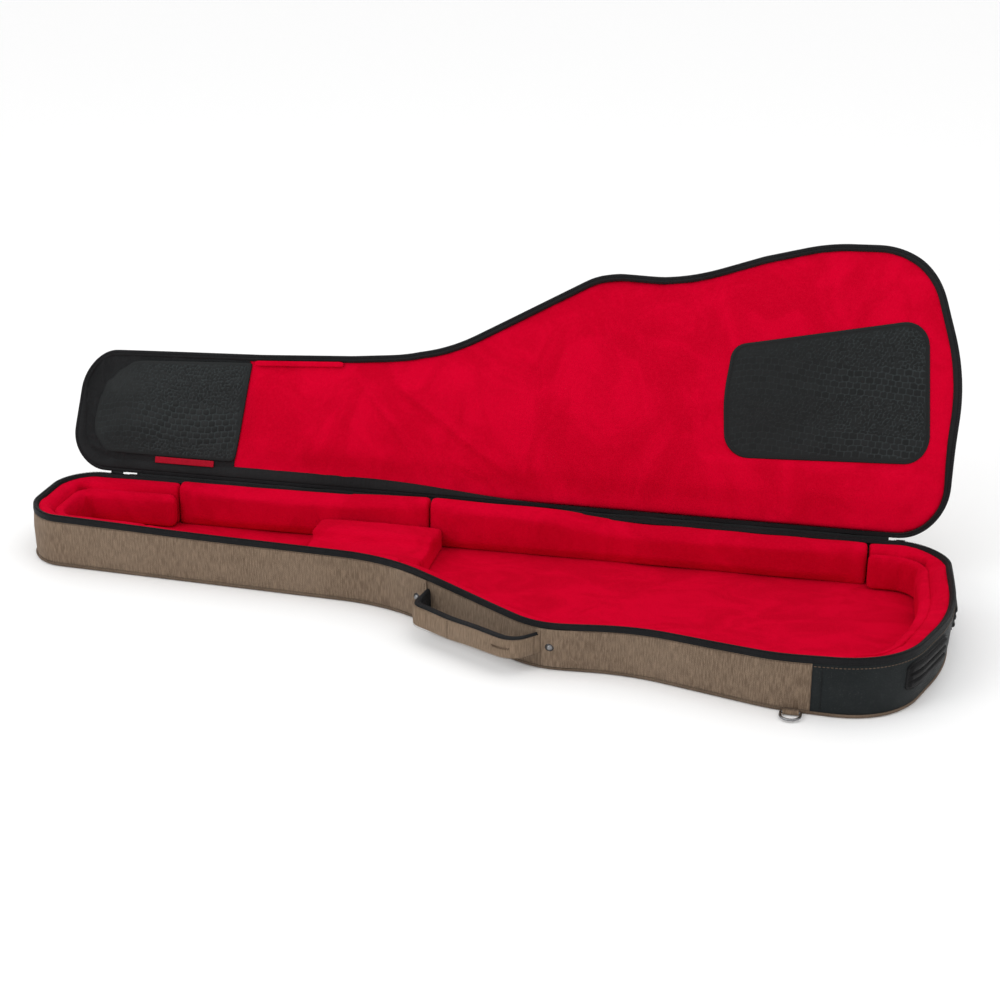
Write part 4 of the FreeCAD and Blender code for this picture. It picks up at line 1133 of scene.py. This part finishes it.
def lidLining():  # one thick pad of foam under plush, blown up a little, then creased and laid back in the lid
    look = dict(inset=3.6, high=29.8, edge=5.0, step=9, voxel=7.0, pressure=2.5, cap=4.0)
    line = lidLine(look["inset"])
    under = lambda x, y, inset: liningAt(x, y) + 2.2 * (1 - rise(x, -412, -396))
    grid = cushionGrid(line, under, look["high"], look["edge"], look["step"])
    piece = surface("lidLining", grid, redPlush)

    def free(p):
        under = rise(clearOf(p[:, :2], lidEdge), 20, 55) * rise(-p[:, 2], -12, -6)
        guards = (p[:, 0] > -375) * (1 - rise(p[:, 0], 285, 310) * (1 - rise(p[:, 0], 622, 640))
                                     * (p[:, 1] < -90) * 1.0)
        return under * guards

    puff(piece, look["voxel"], look["pressure"], look["cap"], free)

    def creased(p):
        inside = rise(-p[:, 2], -14, -6)
        lift = np.zeros(len(p))
        for fold in creases:
            d, share = toLine(p[:, :2], fold["line"])
            tapered = rise(share, 0, 0.25) * (1 - rise(share, 0.75, 1))
            lift += fold["high"] * np.exp(-(d / fold["wide"]) ** 2) * tapered
            lift -= 0.35 * fold["high"] * np.exp(-(d / fold["wide"] / 2.4) ** 2) * tapered
        pucker = ripple(p * [1, 1, 0], 26, 91) * hump(clearOf(p[:, :2], lidEdge), 14, 12) * 0.5
        q = p.copy()
        q[:, 2] -= (lift + pucker) * inside
        return lidPlace(q)

    reshape(piece, creased)
    finish(piece, "lid", "red_plush", "lid_pad")


# cells round jittered centres in staggered rows: edge height, own shade
def cells(x, y, wide, tall, loose, seed, square):
    u, v = x / wide, y / tall
    table = np.random.default_rng(seed).uniform(-1, 1, (97, 89, 3))
    row, near1, near2, shade = np.floor(v), np.full(x.shape, 9.0), np.full(x.shape, 9.0), np.zeros(x.shape)
    for dv in (-1, 0, 1):
        r = row + dv
        shift = 0.5 * (r % 2)
        column = np.floor(u - shift)
        for du in (-1, 0, 1):
            c = column + du
            random = table[(c % 97).astype(int), (r % 89).astype(int)]
            cu, cv = c + shift + 0.5 + loose * random[..., 0] * 0.5, r + 0.5 + loose * random[..., 1] * 0.5
            d = (np.abs(u - cu) ** square + np.abs(v - cv) ** square) ** (1 / square)
            closer = d < near1
            near2 = np.where(closer, near1, np.minimum(near2, d))
            shade = np.where(closer, random[..., 2], shade)
            near1 = np.minimum(near1, d)
    return rise(near2 - near1, 0.03, 0.30), shade


def scalePattern(x, y, bands, seed):  # rows of large square scales in bands across the hide, small round ones between
    wave = 5 * ripple(np.stack([x, y, 0 * x], -1), 90, seed)
    bend = 6 * ripple(np.stack([x, 0 * x, 0 * x], -1), 160, seed + 1)
    big, bigShade = cells(x, y + bend, 10.6, 8.8, 0.3, seed, 6.0)
    small, smallShade = cells(x, y + bend, 6.0, 5.2, 0.75, seed + 2, 2.6)
    inBand = sum((rise(y + wave, a - 3, a) * (1 - rise(y + wave, b, b + 3)) for a, b in bands)) > 0.5
    return np.where(inBand, big, small), np.where(inBand, bigShade, smallShade)


def scaledHide(name, line, bands, seed, look, smoothRim):  # a hide panel laid on the lining, its scales in relief
    floor_ = lambda x, y, inset: liningAt(x, y) + 0.4
    top = lambda x, y, inset: liningAt(x, y) - look["thick"]
    grid = cushionGrid(line, top, floor_, look["edge"], look["step"])
    x, y = grid[..., 0], grid[..., 1]
    height, shade = scalePattern(x, y, bands, seed)
    inset = clearOf(grid[..., :2], line)
    plain = 1 - rise(inset, smoothRim, smoothRim + 4)
    plain = 1 - (1 - plain) * (look["faint"] + (1 - look["faint"]) * rise(x, *look["strong"]))
    height = height * (1 - plain) + 0.75 * plain
    columns = grid.shape[1]
    front = np.arange(columns) >= (columns + 2) // 2
    rim = look["rim"] * hump(inset, 3.0, 2.2)
    grid[..., 2] -= np.where(front[None], look["relief"] * height * (inset > 0.5) * (1 - plain) + rim, 0)
    piece = surface(name, lidPlace(grid), hide)
    for label, value in (("scaleHeight", np.where(front[None], height, 0.75)),
                         ("scaleShade", np.clip(0.5 + 0.5 * shade * (1 - plain), 0, 1))):
        layer = piece.data.attributes.new(label, "FLOAT", "POINT")
        layer.data.foreach_set("value", value.astype(np.float32).ravel())
    return piece


def guards():
    look = dict(thick=1.5, edge=1.0, step=1.5, relief=0.5, rim=0.5, faint=0.45, strong=(380, 600))
    bridge = [(326, -92, 36), (318, -180, 260), (326, -252, 24), (598, -309, 36), (618, -104, 40)]
    line = roundedLine(bridge, 4)
    piece = scaledHide("bridgeGuard", line, [(-236, -191), (-142, -102)], 101, look, 5.0)
    finish(piece, "lid", "embossed_hide", "bridge_guard")
    seam = roundedLine([(c[0] + (470 - c[0]) * 0.035, c[1] + (-195 - c[1]) * 0.045, c[2] * 0.9) for c in bridge], 3)
    run = np.column_stack([seam, liningAt(*seam.T) - look["thick"] - 0.5])
    at, along = seamAlong(np.vstack([run, run[:1]]), 3.2)
    finish(beads("bridgeGuardStitch", at, along, np.zeros_like(at) - [0, 0, 1.0], 2.3, 0.6, 0.6, thread, lidPlace),
           "lid", "embossed_hide")

    head = [(-400, -26.5, 9), (-612, -26.5, 26), (-636, -62, 40), (-628, -128, 60), (-570, -168, 60), (-384, -177, 4)]
    line = roundedLine(head[::-1] if outwardArea(head) < 0 else head, 4)
    ragged = 1.6 * ripple(np.column_stack([line, 0 * line[:, 0]]), 24, 111) * rise(-line[:, 0], 560, 600)
    line = line + outward(line) * ragged[:, None]
    piece = scaledHide("headGuard", line, [(-106, -50)], 121,
                       dict(look, rim=0.2, thick=3.0, faint=0.45, strong=(-600, -500)), 2.5)
    finish(piece, "lid", "embossed_hide", "head_guard")

    inner = lidLine(6.0)
    keep = inner[:, 0] < np.interp(inner[:, 1], [-178, -30], [-384, -399])
    first = int(np.argmin(keep))
    joined = np.roll(inner, -first, 0)[np.roll(keep, -first)]
    pleat = lambda x, y, inset: liningAt(x, y) - 1.3 - 1.1 * np.clip(ripple(np.stack([x, y, 0 * x], -1), 17,
                                                                            131) + 0.3, 0, 2) \
        * (1 - rise(inset, 22, 34)) * rise(-x, 430, 560)
    grid = cushionGrid(joined, pleat, lambda x, y, inset: liningAt(x, y) + 0.8, 1.0, 2.6)
    finish(surface("headGuardBorder", lidPlace(grid), gussetCloth), "lid", "black_gusset")


def outwardArea(corners):
    at = np.array([c[:2] for c in corners], float)
    return (at[:, 0] * np.roll(at[:, 1], -1) - at[:, 1] * np.roll(at[:, 0], -1)).sum()


def liningTurn():  # the lining's edge turned out over the binding beside the head guard
    section = roundedLine([(-7.5, 1.2, 1.5), (-7.5, -2.4, 1.6), (-15.5, -1.6, 1.6), (-15.5, 3.0, 1.5)], 1.2)
    line = span("near", -381, "near", -245, 4)
    section = endRounded(np.repeat(section[None], len(line), 0), len(line), 0.6, 7.0)
    pucker = 0.5 * ripple(np.column_stack([line[:, :2], 0 * line[:, 0]]), 15, 171)
    section[..., 1] -= pucker[:, None]
    section[..., 1] += (liningAt(*(line[:, :2] - line[:, 2:] * 12).T) - 4)[:, None]
    finish(surface("liningTurn", lidPlace(carry(line, section, lidPush)), redPlush), "lid", "red_plush")


def labelTag():  # a folded woven ribbon, plain, sewn down along its length
    look = dict(start=-524.0, long=92.0, low=-26.0, high=-16.5, thick=0.9)
    line = roundedLine([(look["start"], look["high"], 0.8), (look["start"], look["low"], 0.8),
                        (look["start"] + look["long"], look["low"], 0.8),
                        (look["start"] + look["long"], look["high"], 0.8)], 1.5)
    top = lambda x, y, inset: liningAt(x, y) - 3.9 - look["thick"] + 0.25 * np.sin(x / 9.0)
    grid = cushionGrid(line, top, lambda x, y, inset: liningAt(x, y) - 1.4, 0.5, 2.0)
    finish(surface("labelTag", lidPlace(grid), tagCloth), "lid", "label_cloth", "label_tag")


def hingeCloth():  # the cloth that joins the two rims: up the tub's wall, over the hinge line, on up the lid's gusset
    look = dict(runs=[("hingeCloth", -551.0, 565.0), ("hingeClothHead", -592.0, -573.0)], step=9, thick=1.1)
    y, z = hinge[1], hinge[2]
    middle = roundedLine([(y - 2.5, z - 16, 0), (y - 1.5, z - 7, 20), (y - 0.8, z - 1.7, 3), (y + 0.6, z + 0.8, 1.6),
                          (y + 2.6, z + 0.2, 4), (y + 7.9, z - 1.7, 10), (y + 15.6, z - 4.0, 0)], 0.8, closed=False)
    side = outward(middle, closed=False) * look["thick"] / 2
    loop = np.vstack([middle + side, (middle - side)[::-1]])
    for name, start, end in look["runs"]:
        x = np.linspace(start, end, max(3, int((end - start) / look["step"])))
        grid = np.zeros((len(x), len(loop), 3))
        grid[..., 0], grid[..., 1], grid[..., 2] = x[:, None], loop[None, :, 0], loop[None, :, 1]
        wave = 0.35 * ripple(np.stack([x, 0 * x, 0 * x], -1), 45, 141)
        grid[..., 1:] += wave[:, None, None] * np.array([0.3, 1.0]) * rise(loop[:, 1], z - 6, z)[None, :, None]
        piece = surface(name, grid, gussetCloth)
        if name == "hingeCloth":
            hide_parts("hinge_strip", "lid_hinge_edge")
        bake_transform(piece)


def pockets():  # soft pockets on the lid's outer face: crowned bag, bound edge, zip tape with its coil, stitching along both edges of the tape
    look = dict(edge=9.0, step=9, tapeWide=26.0, tapeThick=0.8, pitch=2.3)
    (lowX, lowY), _ = edges(lidLine(35))
    nearY = lambda x: float(np.interp(x, lowX, lowY))
    for name, x0, x1, deep, zipY, bends, seed in (
            ("accessory", 94.0, 558.0, 14.0, -74.0, (205, 330, 450), 151),
            ("slim", -422.0, 38.0, 9.0, -62.0, (-300, -180, -70), 161)):
        face = bag["lidDeep"] + deep
        corners = [(x0, -35, 22), (x0, nearY(x0), 22)] + [(x, nearY(x), 70) for x in bends] \
            + [(x1, nearY(x1), 24), (x1, -35, 22)]
        line = roundedLine(corners, 4)
        slack = lambda x, y, inset: face + (1.6 * ripple(np.stack([x, y, 0 * x], -1), 120, seed)
                                           + 2.2 * rise(inset, 20, 90)) * (1 - hump(y, zipY, 26)) * rise(inset, 4, 30)
        grid = cushionGrid(line, bag["lidDeep"] - 0.6, slack, min(look["edge"], deep - 1), look["step"])
        finish(surface(name + "Pocket", lidPlace(grid), tanCloth), "lid", "tan_weave", name + "_pocket")
        a = np.linspace(0, 2 * pi, 9)[:-1]
        cord = np.stack([0.6 + 2.0 * np.cos(a), bag["lidDeep"] + 3.4 + 2.0 * np.sin(a)], 1)
        around = np.hstack([line, outward(line)])
        finish(surface(name + "PocketBinding", lidPlace(carry(around, cord)), tapeCloth, closeRows=True), "lid",
               "zip_tape")
        half = look["tapeWide"] / 2
        tape = roundedLine([(x0 + 14, zipY + half, 2), (x0 + 14, zipY - half, 2), (x1 - 14, zipY - half, 2),
                            (x1 - 14, zipY + half, 2)], 4)
        grid = cushionGrid(tape, face - 0.8, face + look["tapeThick"], 0.5, 4.0)
        finish(surface(name + "ZipTape", lidPlace(grid), tapeCloth), "lid", "zip_tape", name + "_zip_tape")
        x = np.arange(x0 + 40, x1 - 16, look["pitch"])
        at = np.column_stack([x, 0 * x + zipY, 0 * x + face + look["tapeThick"] + 0.3])
        across, upright = np.zeros_like(at) + [0, 1.0, 0], np.zeros_like(at) + [0, 0, 1.0]
        finish(beads(name + "ZipCoil", at, across, upright, 4.6, 1.5, 1.3, coilNylon, lidPlace), "lid", "zip_coil")
        rows = []
        for edge in (-half + 2.2, half - 2.2):
            x = np.arange(x0 + 16, x1 - 16, 3.4)
            rows.append(np.column_stack([x, 0 * x + zipY + edge, 0 * x + face + look["tapeThick"] + 0.15]))
        at = np.vstack(rows)
        ahead = np.zeros_like(at) + [1.0, 0, 0]
        finish(beads(name + "ZipStitch", at, ahead, np.zeros_like(at) + [0, 0, 1.0], 2.4, 0.6, 0.6, thread, lidPlace),
               "lid", "zip_tape")


lidCover()
lidRim()
lidLining()
guards()
labelTag()
liningTurn()
hingeCloth()
pockets()
print("lid made")


# floor, light and camera
def stageAndCamera():
    view = dict(target=(-4.3, 185.7, 62.0), away=3157.77, azimuth=12.003, elevation=21.908, roll=0.34,
                lens=76.82, sensor=36.0, clipEnd=100.0)
    look = dict(half=9000, front=-7000, paint=0.95, glow=0.05, roughness=0.6, shine=0.2, sky=0.96)
    half, front = look["half"], look["front"]
    floor = makePiece("floor", [(-half, front, 0), (half, front, 0), (half, half, 0), (-half, half, 0)],
                      [[0, 1, 2, 3]], [])
    material, _, shader = newMaterial("paleFloor")
    shader.inputs["Base Color"].default_value = (look["paint"],) * 3 + (1,)
    shader.inputs["Emission Color"].default_value = (1, 1, 1, 1)
    shader.inputs["Emission Strength"].default_value = look["glow"]
    shader.inputs["Roughness"].default_value = look["roughness"]
    shader.inputs["Specular IOR Level"].default_value = look["shine"]
    floor.data.materials.append(material)

    world = bpy.data.worlds.new("studio")
    world.use_nodes = True
    world.node_tree.nodes["Background"].inputs[0].default_value = (1.0, 1.0, 1.0, 1)
    world.node_tree.nodes["Background"].inputs[1].default_value = look["sky"]
    bpy.context.scene.world = world

    def softbox(name, at, aim, size, power):
        light = bpy.data.lights.new(name, "AREA")
        light.shape, light.size, light.size_y, light.energy = "RECTANGLE", size[0], size[1], power
        lamp = bpy.data.objects.new(name, light)
        lamp.location = at
        lamp.rotation_euler = (Vector(aim) - Vector(at)).to_track_quat("-Z", "Y").to_euler()
        bpy.context.scene.collection.objects.link(lamp)

    softbox("keyLight", (-1.9, -2.2, 2.3), (0, 0.1, 0.1), (1.6, 1.2), 24)
    softbox("topLight", (0.8, -0.2, 3.0), (0, 0, 0), (2.4, 1.6), 10)

    az, el = math.radians(view["azimuth"]), math.radians(view["elevation"])
    back = Vector((math.sin(az) * math.cos(el), -math.cos(az) * math.cos(el), math.sin(el)))
    lens = bpy.data.cameras.new("camera")
    lens.lens, lens.sensor_width, lens.clip_end = view["lens"], view["sensor"], view["clipEnd"]
    camera = bpy.data.objects.new("camera", lens)
    camera.location = (Vector(view["target"]) + back * view["away"]) * mm
    turn = (-back).to_track_quat("-Z", "Y").to_matrix().to_4x4()
    camera.rotation_euler = (turn @ Matrix.Rotation(math.radians(view["roll"]), 4, "Z")).to_euler()
    bpy.context.scene.collection.objects.link(camera)
    bpy.context.scene.camera = camera
    bpy.context.scene.view_settings.view_transform = "Standard"


stageAndCamera()
print("stage made")
